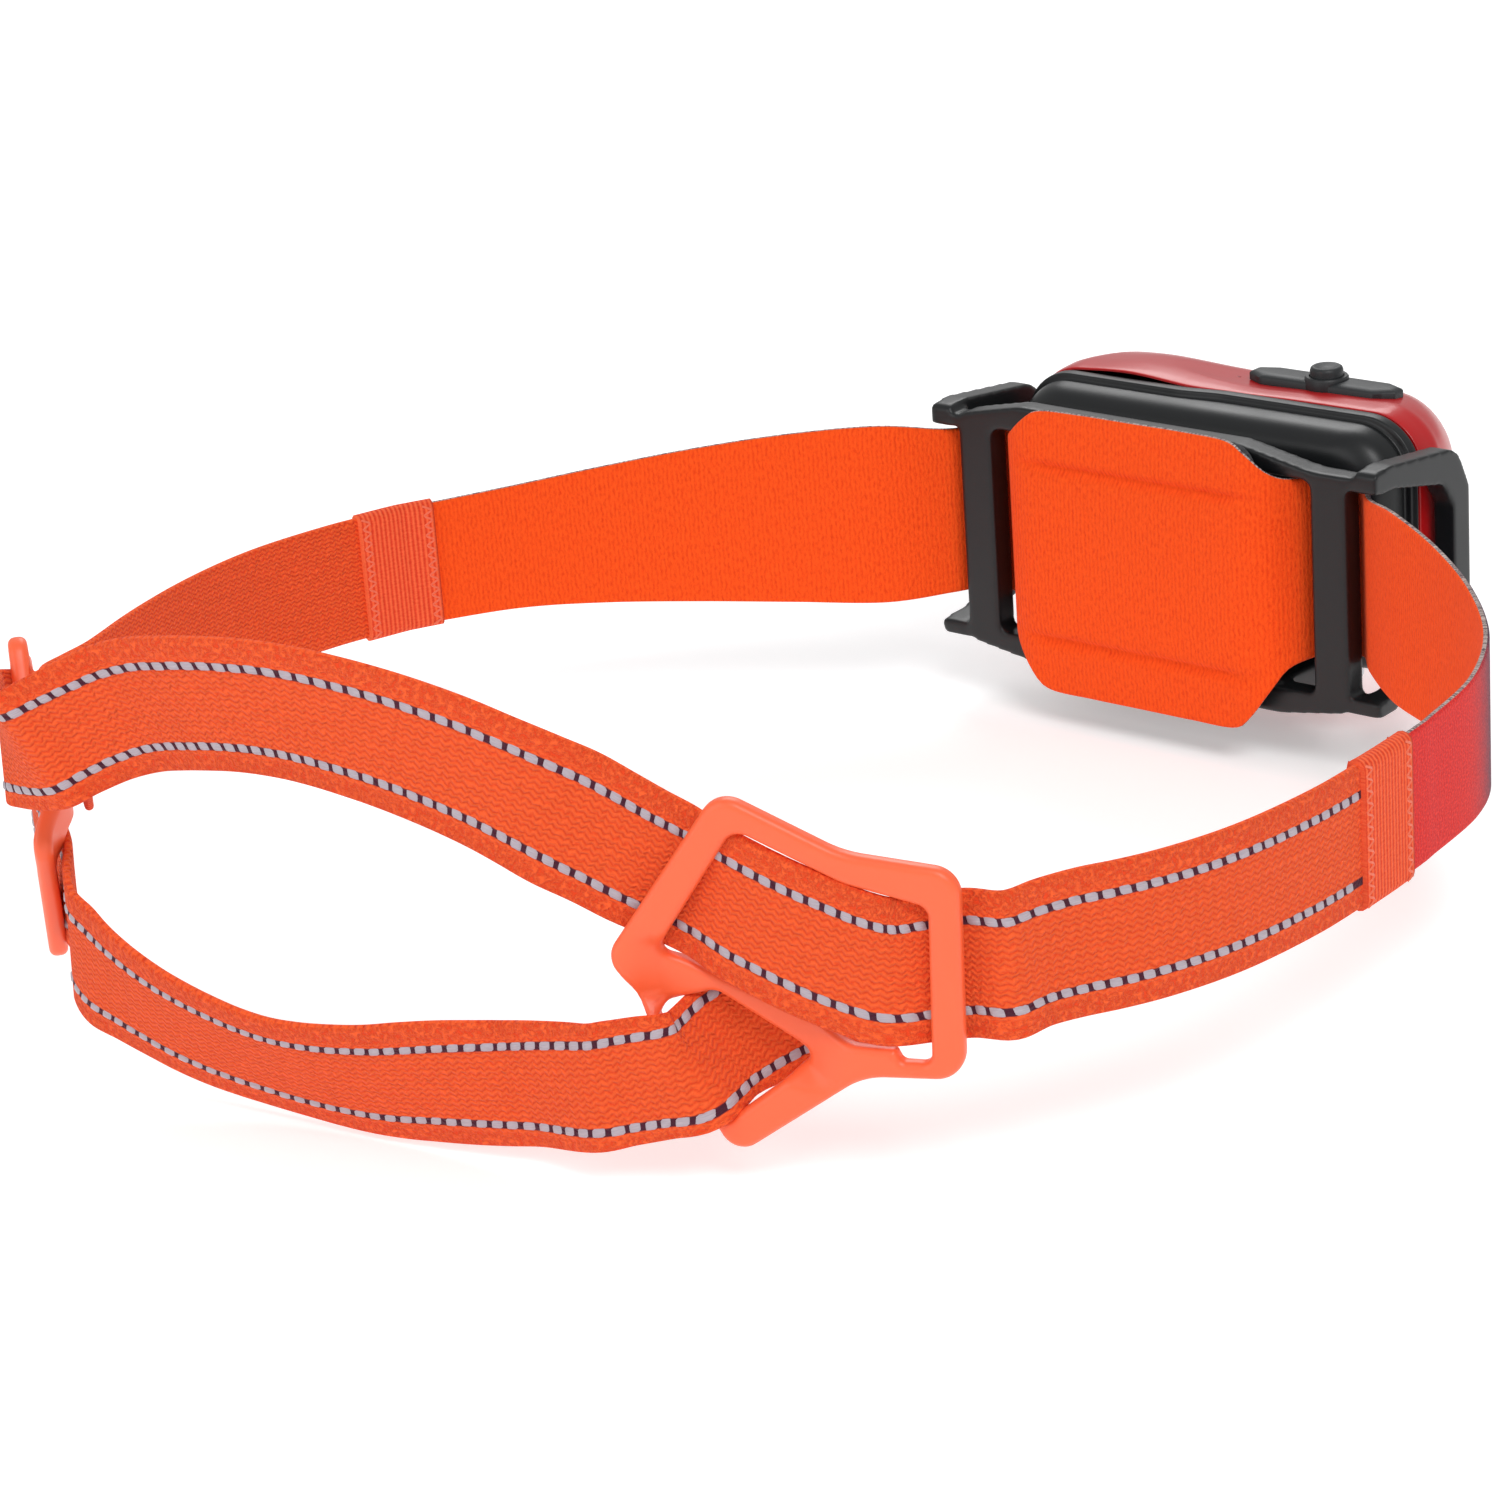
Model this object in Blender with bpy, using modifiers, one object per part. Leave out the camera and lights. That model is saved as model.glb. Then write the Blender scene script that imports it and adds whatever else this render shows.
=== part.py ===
"""A headlamp on an elastic headband, standing as it is worn, with every piece as its own object.

Frame: the origin is the middle of the forehead pad's head-side face. The beam points along -Y, the
head is on the +Y side, +Z is up and +X is the wearer's left. Lengths are written in millimetres and
turned into metres by MM as each piece is made.
"""

import math

import bmesh
import bpy
import numpy as np
from mathutils import Matrix, Vector

MM = 0.001
GAP = 0.3                      # between pieces that touch on the real object

# Lamp body
LAMP_HALF_WIDTH = 35.0
LAMP_TOP = 18.8
LAMP_BOTTOM = -20.8
LAMP_BACK_Y = -15.8
LAMP_SEAM_Y = -24.0            # where the red front shell meets the black battery case
LAMP_FRONT_Y = -44.3
SHELL_WALL = 1.5
CASE_WALL = 1.7
OPTICS_Z = -1.0                # height of the lenses
SPOT_X = -11.0
FLOOD_X = 10.0
SENSOR_X = 20.6
SPOT_RADIUS = 8.0
FLOOD_RADIUS = 6.5
BUTTON_X = -13.1
BUTTON_Y = -33.0
BUTTON_RADIUS = 3.1
BUTTON_TRAVEL = 1.0

# Frame that carries the lamp, and its hinge
POST_INNER_X = 28.5
POST_OUTER_X = 34.5
WING_INNER_X = 35.9
WING_OUTER_X = 39.6
HINGE_Y = -18.4
HINGE_Z = -19.4
EAR_INNER_X = 18.0
EAR_OUTER_X = 22.0
PIN_RADIUS = 1.0
PIN_BORE = 1.15

# Headband
WEB_WIDTH = 19.0
WEB_THICK = 1.5
BAND_THICK = 1.4
PAD_TOP = 19.8
PAD_BOTTOM = -24.8
PAD_FLAT_X = 17.0              # half length of the pad's full-height middle
NECK_TOP = 14.0
NECK_BOTTOM = -14.2

# Slider: a flat ring whose crossbar dips to the head side, in its own (u rearward, v up, n outward)
SLIDER_OUTSIDE = 3.55
SLIDER_INSIDE = 1.05
CROSSBAR_DIP = 4.6
CROSSBAR_START = Vector((11.0, -14.5))
CROSSBAR_END = Vector((41.0, -2.0))
RIGHT_SLIDER_ORIGIN = (-69.0, 130.4, 0.0)
RIGHT_SLIDER_REARWARD = (0.920, 0.390, 0.0)
LEFT_SLIDER_ORIGIN = (85.0, 136.0, 0.0)
LEFT_SLIDER_REARWARD = (-0.770, 0.638, 0.0)

PARTS = None
CUTTERS = None


# ---------------------------------------------------------------- scene and materials

def clear_scene():
    for old in list(bpy.data.objects):
        bpy.data.objects.remove(old, do_unlink=True)


def new_collection(name, hidden=False):
    made = bpy.data.collections.new(name)
    bpy.context.scene.collection.children.link(made)
    made.hide_render = hidden
    return made


def material(name, colour, roughness, metallic=0.0, alpha=1.0):
    made = bpy.data.materials.new(name)
    made.use_nodes = True
    shader = made.node_tree.nodes["Principled BSDF"]
    shader.inputs["Base Color"].default_value = (*colour, 1.0)
    shader.inputs["Roughness"].default_value = roughness
    shader.inputs["Metallic"].default_value = metallic
    shader.inputs["Alpha"].default_value = alpha
    return made


def red_shell_plastic():
    return material("red_shell_plastic", (0.62, 0.02, 0.03), 0.18)


def black_plastic():
    return material("black_plastic", (0.028, 0.030, 0.033), 0.42)


def dark_rubber():
    return material("dark_rubber", (0.020, 0.021, 0.023), 0.62)


def clear_plastic():
    return material("clear_plastic", (0.92, 0.94, 0.96), 0.05, alpha=0.35)


def reflector_black():
    return material("reflector_black", (0.012, 0.012, 0.014), 0.30)


def led_white():
    return material("led_white", (0.95, 0.90, 0.55), 0.35)


def board_green():
    return material("board_green", (0.02, 0.16, 0.07), 0.45)


def heat_sink_metal():
    return material("heat_sink_metal", (0.62, 0.63, 0.65), 0.35, 1.0)


def steel():
    return material("steel", (0.55, 0.56, 0.58), 0.30, 1.0)


def brass():
    return material("brass", (0.80, 0.60, 0.25), 0.28, 1.0)


def cell_wrap():
    return material("cell_wrap", (0.10, 0.22, 0.45), 0.40)


def orange_knit():
    return material("orange_knit", (0.86, 0.10, 0.02), 0.90)


def orange_webbing():
    return material("orange_webbing", (0.88, 0.09, 0.03), 0.85)


def slider_plastic():
    return material("slider_plastic", (0.93, 0.17, 0.06), 0.38)


def grey_foam():
    return material("grey_foam", (0.16, 0.16, 0.17), 0.95)


# ---------------------------------------------------------------- building helpers

def link_part(obj, finish):
    PARTS.objects.link(obj)
    obj.data.materials.clear()
    obj.data.materials.append(finish)
    return obj


def link_cutter(obj):
    CUTTERS.objects.link(obj)
    obj.hide_render = True
    obj.display_type = "WIRE"
    return obj


def object_from_bmesh(name, shape):
    mesh = bpy.data.meshes.new(name)
    bmesh.ops.recalc_face_normals(shape, faces=shape.faces)
    shape.to_mesh(mesh)
    shape.free()
    return bpy.data.objects.new(name, mesh)


def smooth(obj, angle=35.0):
    obj.data.shade_smooth()
    obj.data.set_sharp_from_angle(angle=math.radians(angle))
    return obj


def box(name, low, high, round_by=0.0, segments=2):
    """A box from corner to corner, with its edges rounded by a Bevel modifier."""
    low, high = Vector(low), Vector(high)
    shape = bmesh.new()
    bmesh.ops.create_cube(shape, size=1.0)
    size = (high - low) * MM
    bmesh.ops.scale(shape, vec=size, verts=shape.verts)
    obj = object_from_bmesh(name, shape)
    obj.location = (low + high) / 2 * MM
    if round_by:
        edge = obj.modifiers.new("rounded_edges", "BEVEL")
        edge.width = round_by * MM
        edge.segments = segments
        edge.limit_method = "NONE"
    return obj


def cylinder(name, centre, axis, radius, length, sides=24, far_radius=None):
    """A cylinder or cone about a point, along X, Y or Z."""
    shape = bmesh.new()
    bmesh.ops.create_cone(
        shape, cap_ends=True, segments=sides, depth=length * MM,
        radius1=radius * MM, radius2=(radius if far_radius is None else far_radius) * MM,
    )
    turn = {
        "X": Matrix.Rotation(math.radians(90), 3, "Y"),
        "Y": Matrix.Rotation(math.radians(-90), 3, "X"),
        "Z": Matrix.Identity(3),
    }[axis]
    bmesh.ops.rotate(shape, matrix=turn, verts=shape.verts)
    obj = object_from_bmesh(name, shape)
    obj.location = Vector(centre) * MM
    return smooth(obj)


def boolean(obj, other, operation):
    step = obj.modifiers.new(operation.lower(), "BOOLEAN")
    step.operation = operation
    step.object = other
    step.solver = "EXACT"


def cut(obj, cutter):
    boolean(obj, link_cutter(cutter), "DIFFERENCE")


def join(obj, other):
    boolean(obj, link_cutter(other), "UNION")


def arc_points(centre, radius, start, end, steps):
    angles = np.radians(np.linspace(start, end, steps + 1))
    return [(centre[0] + radius * math.cos(a), centre[1] + radius * math.sin(a)) for a in angles]


def rounded_rectangle(half_width, top, bottom, radius, steps=5):
    """Corner arcs of a rectangle in the XZ plane, anticlockwise seen from -Y."""
    points = []
    points += arc_points((half_width - radius, top - radius), radius, 0, 90, steps)
    points += arc_points((radius - half_width, top - radius), radius, 90, 180, steps)
    points += arc_points((radius - half_width, bottom + radius), radius, 180, 270, steps)
    points += arc_points((half_width - radius, bottom + radius), radius, 270, 360, steps)
    return points


def rounded_outline(corners, steps=4):
    """A closed outline of (x, y, radius) corners, each turned into an arc."""
    points = []
    count = len(corners)
    for i in range(count):
        x, y, radius = corners[i]
        here = Vector((x, y))
        before = (Vector(corners[i - 1][:2]) - here).normalized()
        after = (Vector(corners[(i + 1) % count][:2]) - here).normalized()
        half = before.angle(after) / 2
        reach = radius / math.tan(half)
        centre = here + (before + after).normalized() * (radius / math.sin(half))
        first = here + before * reach - centre
        last = here + after * reach - centre
        turn = first.angle_signed(last)
        for k in range(steps + 1):
            spoke = first.copy()
            spoke.rotate(Matrix.Rotation(-turn * k / steps, 2))
            points.append(tuple(centre + spoke))
    return points


def flat_curve(name, outlines, half_thickness, edge=0.0, edge_steps=1):
    """A 2D curve filled between its outlines, extruded both ways and turned into a welded mesh."""
    curve = bpy.data.curves.new(name, "CURVE")
    curve.dimensions = "2D"
    curve.fill_mode = "BOTH"
    curve.extrude = (half_thickness - edge) * MM
    curve.bevel_depth = edge * MM
    curve.bevel_resolution = edge_steps
    curve.offset = -edge * MM
    for outline in outlines:
        spline = curve.splines.new("POLY")
        spline.points.add(len(outline) - 1)
        for point, (x, y) in zip(spline.points, outline):
            point.co = (x * MM, y * MM, 0, 1)
        spline.use_cyclic_u = True
    holder = bpy.data.objects.new(name, curve)
    bpy.context.scene.collection.objects.link(holder)
    bpy.context.view_layer.update()
    evaluated = holder.evaluated_get(bpy.context.evaluated_depsgraph_get())
    mesh = bpy.data.meshes.new_from_object(evaluated)
    bpy.data.objects.remove(holder)
    shape = bmesh.new()
    shape.from_mesh(mesh)
    bmesh.ops.remove_doubles(shape, verts=shape.verts, dist=1e-6)
    bmesh.ops.triangulate(shape, faces=shape.faces)
    bpy.data.meshes.remove(mesh)
    return object_from_bmesh(name, shape)


def upright(obj, y_middle):
    """Turns a flat outline drawn in (x, z) so that it stands in the XZ plane at a depth."""
    obj.data.transform(Matrix.Rotation(math.radians(90), 4, "X"))
    obj.location.y = y_middle * MM
    return obj


def skin(name, rows, closed_rows, capped=False):
    """An open surface through rows of points of equal count."""
    shape = bmesh.new()
    rows = [[shape.verts.new(Vector(p) * MM) for p in row] for row in rows]
    count = len(rows[0])
    for near, far in zip(rows[:-1], rows[1:]):
        for i in range(count if closed_rows else count - 1):
            shape.faces.new((near[i], near[(i + 1) % count], far[(i + 1) % count], far[i]))
    if capped:
        shape.faces.new(rows[-1])
    return object_from_bmesh(name, shape)


def thicken(obj, thickness, offset):
    wall = obj.modifiers.new("wall", "SOLIDIFY")
    wall.thickness = thickness * MM
    wall.offset = offset
    wall.use_even_offset = True
    return obj


def body_ring(section):
    y, half_width, top, bottom, radius = section
    return [(x, y, z) for x, z in rounded_rectangle(half_width, top, bottom, radius)]


def cup(name, sections, wall):
    """A hollow body, open at its first section and closed at its last, with its wall grown inward."""
    return thicken(skin(name, [body_ring(s) for s in sections], True, capped=True), wall, -1)


def catmull_rom(points, steps):
    """A smooth curve through points of any number of values."""
    rows = np.array(points, float)
    padded = np.vstack([2 * rows[0] - rows[1], rows, 2 * rows[-1] - rows[-2]])
    found = []
    for i in range(1, len(padded) - 2):
        p0, p1, p2, p3 = padded[i - 1:i + 3]
        for k in range(steps):
            t = k / steps
            found.append(0.5 * (2 * p1 + (p2 - p0) * t + (2 * p0 - 5 * p1 + 4 * p2 - p3) * t ** 2
                                + (3 * p1 - p0 - 3 * p2 + p3) * t ** 3))
    found.append(rows[-1])
    return np.array(found)


def ribbon(name, middles, edges_up, edges_down, thickness):
    """A flat band: each station has a middle, and offsets to its upper and lower edges."""
    middles, up, down = (np.array(v, float) for v in (middles, edges_up, edges_down))
    rows = np.stack([middles + up, middles + down], axis=1)
    return thicken(skin(name, rows.tolist(), False), thickness, 0)


# ---------------------------------------------------------------- lamp body

FRONT_SECTIONS = [
    (LAMP_SEAM_Y - GAP, 34.6, 18.6, -20.6, 8.5),
    (-29.5, LAMP_HALF_WIDTH, LAMP_TOP, LAMP_BOTTOM, 9.0),
    (-34.0, 33.6, 18.5, -20.5, 9.5),
    (-38.5, 31.4, 17.6, -19.6, 9.8),
    (-42.0, 29.0, 15.6, -17.6, 9.5),
    (LAMP_FRONT_Y, 26.4, 12.6, -14.6, 8.5),
]
CASE_SECTIONS = [
    (LAMP_SEAM_Y, 34.4, 18.5, -20.4, 8.5),
    (-20.5, 34.4, 18.4, -20.3, 8.3),
    (-18.2, 33.6, 17.6, -19.4, 8.0),
    (-16.6, 31.8, 15.8, -17.6, 7.5),
    (LAMP_BACK_Y, 29.8, 13.8, -15.6, 6.5),
]
WINDOW_HALF_WIDTH = 24.2
WINDOW_HALF_HEIGHT = 10.6
HOLDER_HALF_WIDTH = 32.0       # the part of the battery pack inside the front shell
HOLDER_TOP = 16.2
HOLDER_BOTTOM = -18.2
HOLDER_FRONT_Y = -31.4


def window_outline(grow=0.0):
    half_height = WINDOW_HALF_HEIGHT + grow
    return rounded_rectangle(WINDOW_HALF_WIDTH + grow, OPTICS_Z + half_height,
                             OPTICS_Z - half_height, 7.0 + grow, 6)


def front_shell():
    shell = cup("front_shell", FRONT_SECTIONS, SHELL_WALL)
    opening = upright(flat_curve("window_cutter", [window_outline()], 4.0), LAMP_FRONT_Y)
    cut(shell, opening)
    cut(shell, cylinder("stem_hole_cutter", (BUTTON_X, BUTTON_Y, LAMP_TOP), "Z", 1.7, 12))
    cut(shell, box("gauge_cutter", (1.2, -33.4, LAMP_TOP - 4), (12.4, -31.0, LAMP_TOP + 4)))
    return link_part(smooth(shell), red_shell_plastic())


def gauge_light_pipe():
    bar = box("gauge_light_pipe", (1.6, -33.0, 16.6), (12.0, -31.4, 18.3), 0.3)
    return link_part(bar, clear_plastic())


def lens_window():
    pane = upright(flat_curve("lens_window", [window_outline(-GAP)], 0.6, 0.2), -43.5)
    return link_part(pane, clear_plastic())


def bezel():
    holes = [
        arc_points((SPOT_X, OPTICS_Z), SPOT_RADIUS + GAP, 0, 345, 23),
        arc_points((FLOOD_X, OPTICS_Z), FLOOD_RADIUS + GAP, 0, 345, 23),
        arc_points((SENSOR_X, OPTICS_Z), 1.8, 0, 330, 11),
    ]
    plate = upright(flat_curve("bezel", [window_outline(1.2)] + holes, 0.7), -41.8)
    return link_part(smooth(plate), reflector_black())


def turned(name, profile, x):
    """A turned piece: (radius, depth) points, spun about the beam direction by a Screw modifier."""
    mesh = bpy.data.meshes.new(name)
    verts = [(radius * MM, 0.0, depth * MM) for radius, depth in profile]
    mesh.from_pydata(verts, [(i, i + 1) for i in range(len(verts) - 1)], [])
    obj = bpy.data.objects.new(name, mesh)
    spin = obj.modifiers.new("spin", "SCREW")
    spin.steps = 24
    spin.render_steps = 24
    spin.use_merge_vertices = True
    spin.merge_threshold = 1e-6
    spin.use_normal_calculate = True
    obj.rotation_euler = (math.radians(90), 0, 0)
    obj.location = (x * MM, 0, OPTICS_Z * MM)
    return obj


def lens(name, x, radius):
    """A solid collimator: narrow at the diode, full width at the window, with a shallow domed front."""
    back, front = 38.7, 41.9
    profile = [(0, front + 0.6), (radius * 0.6, front + 0.4), (radius, front),
               (radius, front - 1.2), (radius * 0.42, back), (radius * 0.3, back),
               (radius * 0.3, back + 0.6), (0, back + 0.6)]
    return link_part(turned(name, profile, x), clear_plastic())


def diode(name, x):
    chip = box(name, (x - 1.75, -38.4, OPTICS_Z - 1.75), (x + 1.75, -37.7, OPTICS_Z + 1.75), 0.15)
    return link_part(chip, led_white())


def led_board():
    plate = box("led_board", (-22.0, -37.4, -12.0), (24.5, -36.4, 10.0), 0.2)
    for x in (-19.0, 19.0):
        cut(plate, cylinder("board_hole_cutter", (x, -36.9, 6.0), "Y", 1.25, 4, 16))
    return link_part(plate, board_green())


def heat_sink():
    plate = box("heat_sink", (-24.0, -36.1, -13.0), (25.5, -34.9, 11.0), 0.2)
    for x in (-19.0, 19.0):
        cut(plate, cylinder("sink_hole_cutter", (x, -35.5, 6.0), "Y", 1.25, 4, 16))
    return link_part(plate, heat_sink_metal())


def board_screw(name, x):
    shank = cylinder(name, (x, -36.35, 6.0), "Y", 0.95, 3.5, 12)
    join(shank, cylinder(name + "_head", (x, -38.3, 6.0), "Y", 1.9, 1.2, 16))
    return link_part(shank, steel())


def light_sensor():
    return link_part(cylinder("light_sensor", (SENSOR_X, -40.2, OPTICS_Z), "Y", 1.4, 5.0, 16), reflector_black())


def control_board():
    return link_part(box("control_board", (-27.0, -34.3, -15.0), (27.0, -33.3, 11.1), 0.2), board_green())


def tactile_switch():
    can = box("tactile_switch", (BUTTON_X - 3, -34.8, 11.4), (BUTTON_X + 3, -31.8, 13.2), 0.2)
    join(can, cylinder("switch_plunger", (BUTTON_X, BUTTON_Y, 13.2), "Z", 1.0, 1.4, 16))
    return link_part(can, steel())


def button_bar():
    """The low rubber bar with chamfered ends that surrounds the power button."""
    low, high = BUTTON_X - 13.2, BUTTON_X + 13.2
    outline = [(low, -35.0), (low + 3.4, -36.6), (high - 3.4, -36.6), (high, -35.0),
               (high, -31.0), (high - 3.4, -29.4), (low + 3.4, -29.4), (low, -31.0)]
    bar = flat_curve("button_bar", [outline], 0.75, 0.3)
    bar.location.z = 19.9 * MM
    cut(bar, cylinder("button_hole_cutter", (BUTTON_X, BUTTON_Y, 20), "Z", BUTTON_RADIUS + 0.35, 6))
    return link_part(bar, dark_rubber())


def power_button():
    cap_low = 20.25
    cap = cylinder("power_button", (BUTTON_X, BUTTON_Y, cap_low + 1.15), "Z", BUTTON_RADIUS, 2.3, 24, 2.7)
    join(cap, cylinder("button_stem", (BUTTON_X, BUTTON_Y, 18.0), "Z", 1.3, 5.6, 16))
    return link_part(cap, dark_rubber())


def battery_case():
    case = cup("battery_case", CASE_SECTIONS, CASE_WALL)
    for side in (-1, 1):
        inner, outer = side * 13.0, side * 29.0
        boss = box("hinge_boss", (min(inner, outer), -22.5, -20.0), (max(inner, outer), -16.9, -15.0))
        join(case, boss)
    for side in (-1, 1):
        near, far = side * (EAR_INNER_X - 1.0), side * (EAR_OUTER_X + 0.4)
        notch = box("ear_notch", (min(near, far), -22.2, -26.0), (max(near, far), -12.0, -15.8))
        cut(case, notch)
        bore = cylinder("pin_bore", (side * 20.0, HINGE_Y, HINGE_Z), "X", PIN_BORE, 17.0)
        cut(case, bore)
    cut(case, box("port_cutter", (28.0, -21.9, -5.3), (36.0, -18.1, 4.3), 0.6))
    cut(case, box("cover_cutter", (33.4, -23.1, -8.4), (37.0, -17.0, 7.4), 0.6))
    return link_part(smooth(case), black_plastic())


def battery_lid():
    sections = [
        (LAMP_SEAM_Y - GAP, HOLDER_HALF_WIDTH, HOLDER_TOP, HOLDER_BOTTOM, 6.5),
        (HOLDER_FRONT_Y, HOLDER_HALF_WIDTH, HOLDER_TOP, HOLDER_BOTTOM, 6.5),
    ]
    return link_part(smooth(cup("battery_lid", sections, 1.2)), black_plastic())


def battery_cell():
    return link_part(box("battery_cell", (-25.0, -29.8, -14.4), (25.0, -18.2, 13.4), 1.2), cell_wrap())


def seal_ring():
    outline = [rounded_rectangle(32.85, 16.85, -18.85, 7.3), rounded_rectangle(32.3, 16.5, -18.5, 6.8)]
    return link_part(upright(flat_curve("seal_ring", outline, 0.6), -27.0), dark_rubber())


def contact_pad(name, x):
    return link_part(box(name, (x - 3, -32.1, -11), (x + 3, -31.7, -6), 0.1), brass())


def contact_spring(name, x):
    return link_part(box(name, (x - 1.5, -33.0, -10), (x + 1.5, -32.4, -7), 0.15), brass())


def usb_port():
    return link_part(box("usb_port", (28.3, -21.6, -5.0), (32.9, -18.4, 4.0), 0.5), steel())


def usb_cover():
    """A rubber flap that hangs from its upper edge over the charging port."""
    flap = box("usb_cover", (33.7, -22.8, -8.1), (34.9, -17.3, 7.1), 0.4)
    join(flap, box("usb_plug", (33.25, -21.2, -4.4), (34.0, -18.8, 3.4), 0.2))
    return link_part(flap, dark_rubber())


# ---------------------------------------------------------------- mounting frame and hinge

def side_loop(side):
    """The open loop beside the lamp that the band leaves through, drawn in (y, z)."""
    outside = [(-4.4, 15.6, 1.2), (-9.0, 15.5, 6.0), (-27.0, 13.6, 4.0), (-30.5, 9.0, 4.0),
               (-30.5, -11.5, 4.0), (-26.5, -16.0, 4.0), (-9.0, -20.2, 6.0), (-4.4, -20.4, 1.2)]
    window = [(-1.0, 13.5, 0.3), (-9.8, 13.2, 3.0), (-23.4, 9.0, 2.4), (-25.6, 6.0, 2.0),
              (-25.6, -8.5, 2.4), (-22.8, -12.4, 2.4), (-9.8, -17.8, 3.0), (-1.0, -18.2, 0.3)]
    half_thickness = (WING_OUTER_X - WING_INNER_X) / 2
    middle = side * (WING_OUTER_X + WING_INNER_X) / 2
    stand_in_yz = Matrix(((0, 0, 1), (1, 0, 0), (0, 1, 0))).to_4x4()
    loop = flat_curve("side_loop", [rounded_outline(outside)], half_thickness, 0.7)
    loop.data.transform(stand_in_yz)
    loop.location.x = middle * MM
    hole = flat_curve("side_loop_window", [rounded_outline(window)], half_thickness + 1.0)
    hole.data.transform(stand_in_yz)
    hole.location.x = middle * MM
    cut(loop, hole)
    return loop


def mounting_frame():
    """Rear ring of posts and rails, with a side loop tied to each post, and the ears of the hinge."""
    outside = [(POST_OUTER_X, 15.6, 2.0), (22.0, 19.6, 4.0), (-22.0, 19.6, 4.0), (-POST_OUTER_X, 15.6, 2.0),
               (-POST_OUTER_X, -20.4, 2.0), (-22.0, -22.4, 4.0), (22.0, -22.4, 4.0), (POST_OUTER_X, -20.4, 2.0)]
    opening = rounded_rectangle(POST_INNER_X, 14.8, -18.4, 1.2)
    frame = upright(flat_curve("mounting_frame", [rounded_outline(outside), opening], 2.0, 0.8), -6.4)
    for side in (-1, 1):
        join(frame, side_loop(side))
        inner, outer = sorted((side * 30.0, side * (WING_INNER_X + 1.0)))
        join(frame, box("top_tie", (inner, -8.2, 13.5), (outer, -4.6, 15.4), 0.3, 1))
        join(frame, box("bottom_tie", (inner, -8.2, -20.2), (outer, -4.6, -18.0), 0.3, 1))
        inner, outer = sorted((side * EAR_INNER_X, side * EAR_OUTER_X))
        join(frame, box("ear_arm", (inner, -18.6, -21.8), (outer, -6.0, -17.8), 0.3, 1))
        join(frame, cylinder("ear_eye", (side * 20.0, HINGE_Y, HINGE_Z), "X", 2.55, 4.0, 24))
        cut(frame, cylinder("ear_bore", (side * 20.0, HINGE_Y, HINGE_Z), "X", PIN_BORE, 8.0))
    return link_part(smooth(frame), black_plastic())


def hinge_pin(name, side):
    return link_part(cylinder(name, (side * 20.0, HINGE_Y, HINGE_Z), "X", PIN_RADIUS, 15.0), steel())


def hinge_washer(name, side):
    washer = flat_curve(name, [arc_points((0, 0), 2.3, 0, 345, 23), arc_points((0, 0), 1.25, 0, 345, 23)], 0.2)
    washer.data.transform(Matrix.Rotation(math.radians(90), 4, "Y"))
    washer.location = Vector((side * (EAR_INNER_X - 0.5), HINGE_Y, HINGE_Z)) * MM
    return link_part(washer, steel())


# ---------------------------------------------------------------- headband

# Front band stations from the middle outward: x, y, upper edge z, lower edge z
PAD_HALF = [
    (0.0, -0.7, PAD_TOP, PAD_BOTTOM),
    (PAD_FLAT_X, -0.7, PAD_TOP, PAD_BOTTOM),
    (22.0, -1.9, 15.6, -18.6),
    (23.6, -3.6, NECK_TOP, NECK_BOTTOM),
    (26.8, -8.6, 13.6, -13.8),
    (29.2, -10.1, 13.0, -13.4),
    (33.8, -10.1, 12.6, -13.4),
]
LEFT_TAPER = [
    (38.0, -5.2, 12.6, -13.8),
    (45.0, 2.4, 14.2, -14.2),
    (56.4, 10.9, 13.6, -13.4),
    (67.4, 20.1, 12.3, -12.3),
    (77.3, 30.6, 10.9, -10.9),
    (85.5, 41.6, 9.6, -9.6),
    (93.4, 55.8, 9.2, -9.2),
]
RIGHT_TAPER = [
    (38.0, -5.2, 12.6, -13.8),
    (46.7, 2.3, 14.2, -14.2),
    (58.3, 10.5, 13.6, -13.4),
    (69.4, 19.9, 12.3, -12.3),
    (78.4, 30.8, 10.9, -10.9),
    (83.9, 43.5, 9.6, -9.6),
    (86.2, 57.6, 9.2, -9.2),
]
# Side webbing from the seam to the slider: x, y
LEFT_SIDE = [(94.3, 57.8), (97.5, 68.5), (99.4, 82.3), (98.2, 96.3), (94.8, 110.2), (90.4, 122.9)]
RIGHT_SIDE = [(-86.5, 59.9), (-87.2, 72.2), (-87.2, 86.0), (-85.4, 100.0), (-81.4, 112.0), (-75.6, 122.5)]
# Rear webbing between the sliders, from the wearer's right to left: x, y, z, lean of the top outward
UPPER_REAR = [
    (-20.0, 152.3, 18.9, 3), (-11.5, 156.0, 22.8, 4), (-1.4, 159.4, 25.5, 6), (10.0, 162.5, 27.0, 9),
    (22.0, 164.9, 26.5, 12), (33.5, 166.4, 24.0, 13),
]
LOWER_REAR = [
    (-8.0, 157.6, -20.4, 25), (3.0, 160.9, -21.1, 26), (15.0, 163.6, -20.8, 26),
    (28.7, 165.8, -18.4, 20), (40.0, 166.4, -15.2, 12),
]


def slider_frame(side):
    """Origin and axes of a slider. The left one is the right one turned half round."""
    if side == "right":
        origin, rearward, up = RIGHT_SLIDER_ORIGIN, RIGHT_SLIDER_REARWARD, (0, 0, 1)
    else:
        origin, rearward, up = LEFT_SLIDER_ORIGIN, LEFT_SLIDER_REARWARD, (0, 0, -1)
    rearward, up = Vector(rearward).normalized(), Vector(up)
    return Vector(origin), rearward, up, up.cross(rearward)


def slider_point(side, u, v, n):
    origin, rearward, up, out = slider_frame(side)
    return np.array(origin + rearward * u + up * v + out * n)


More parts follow.
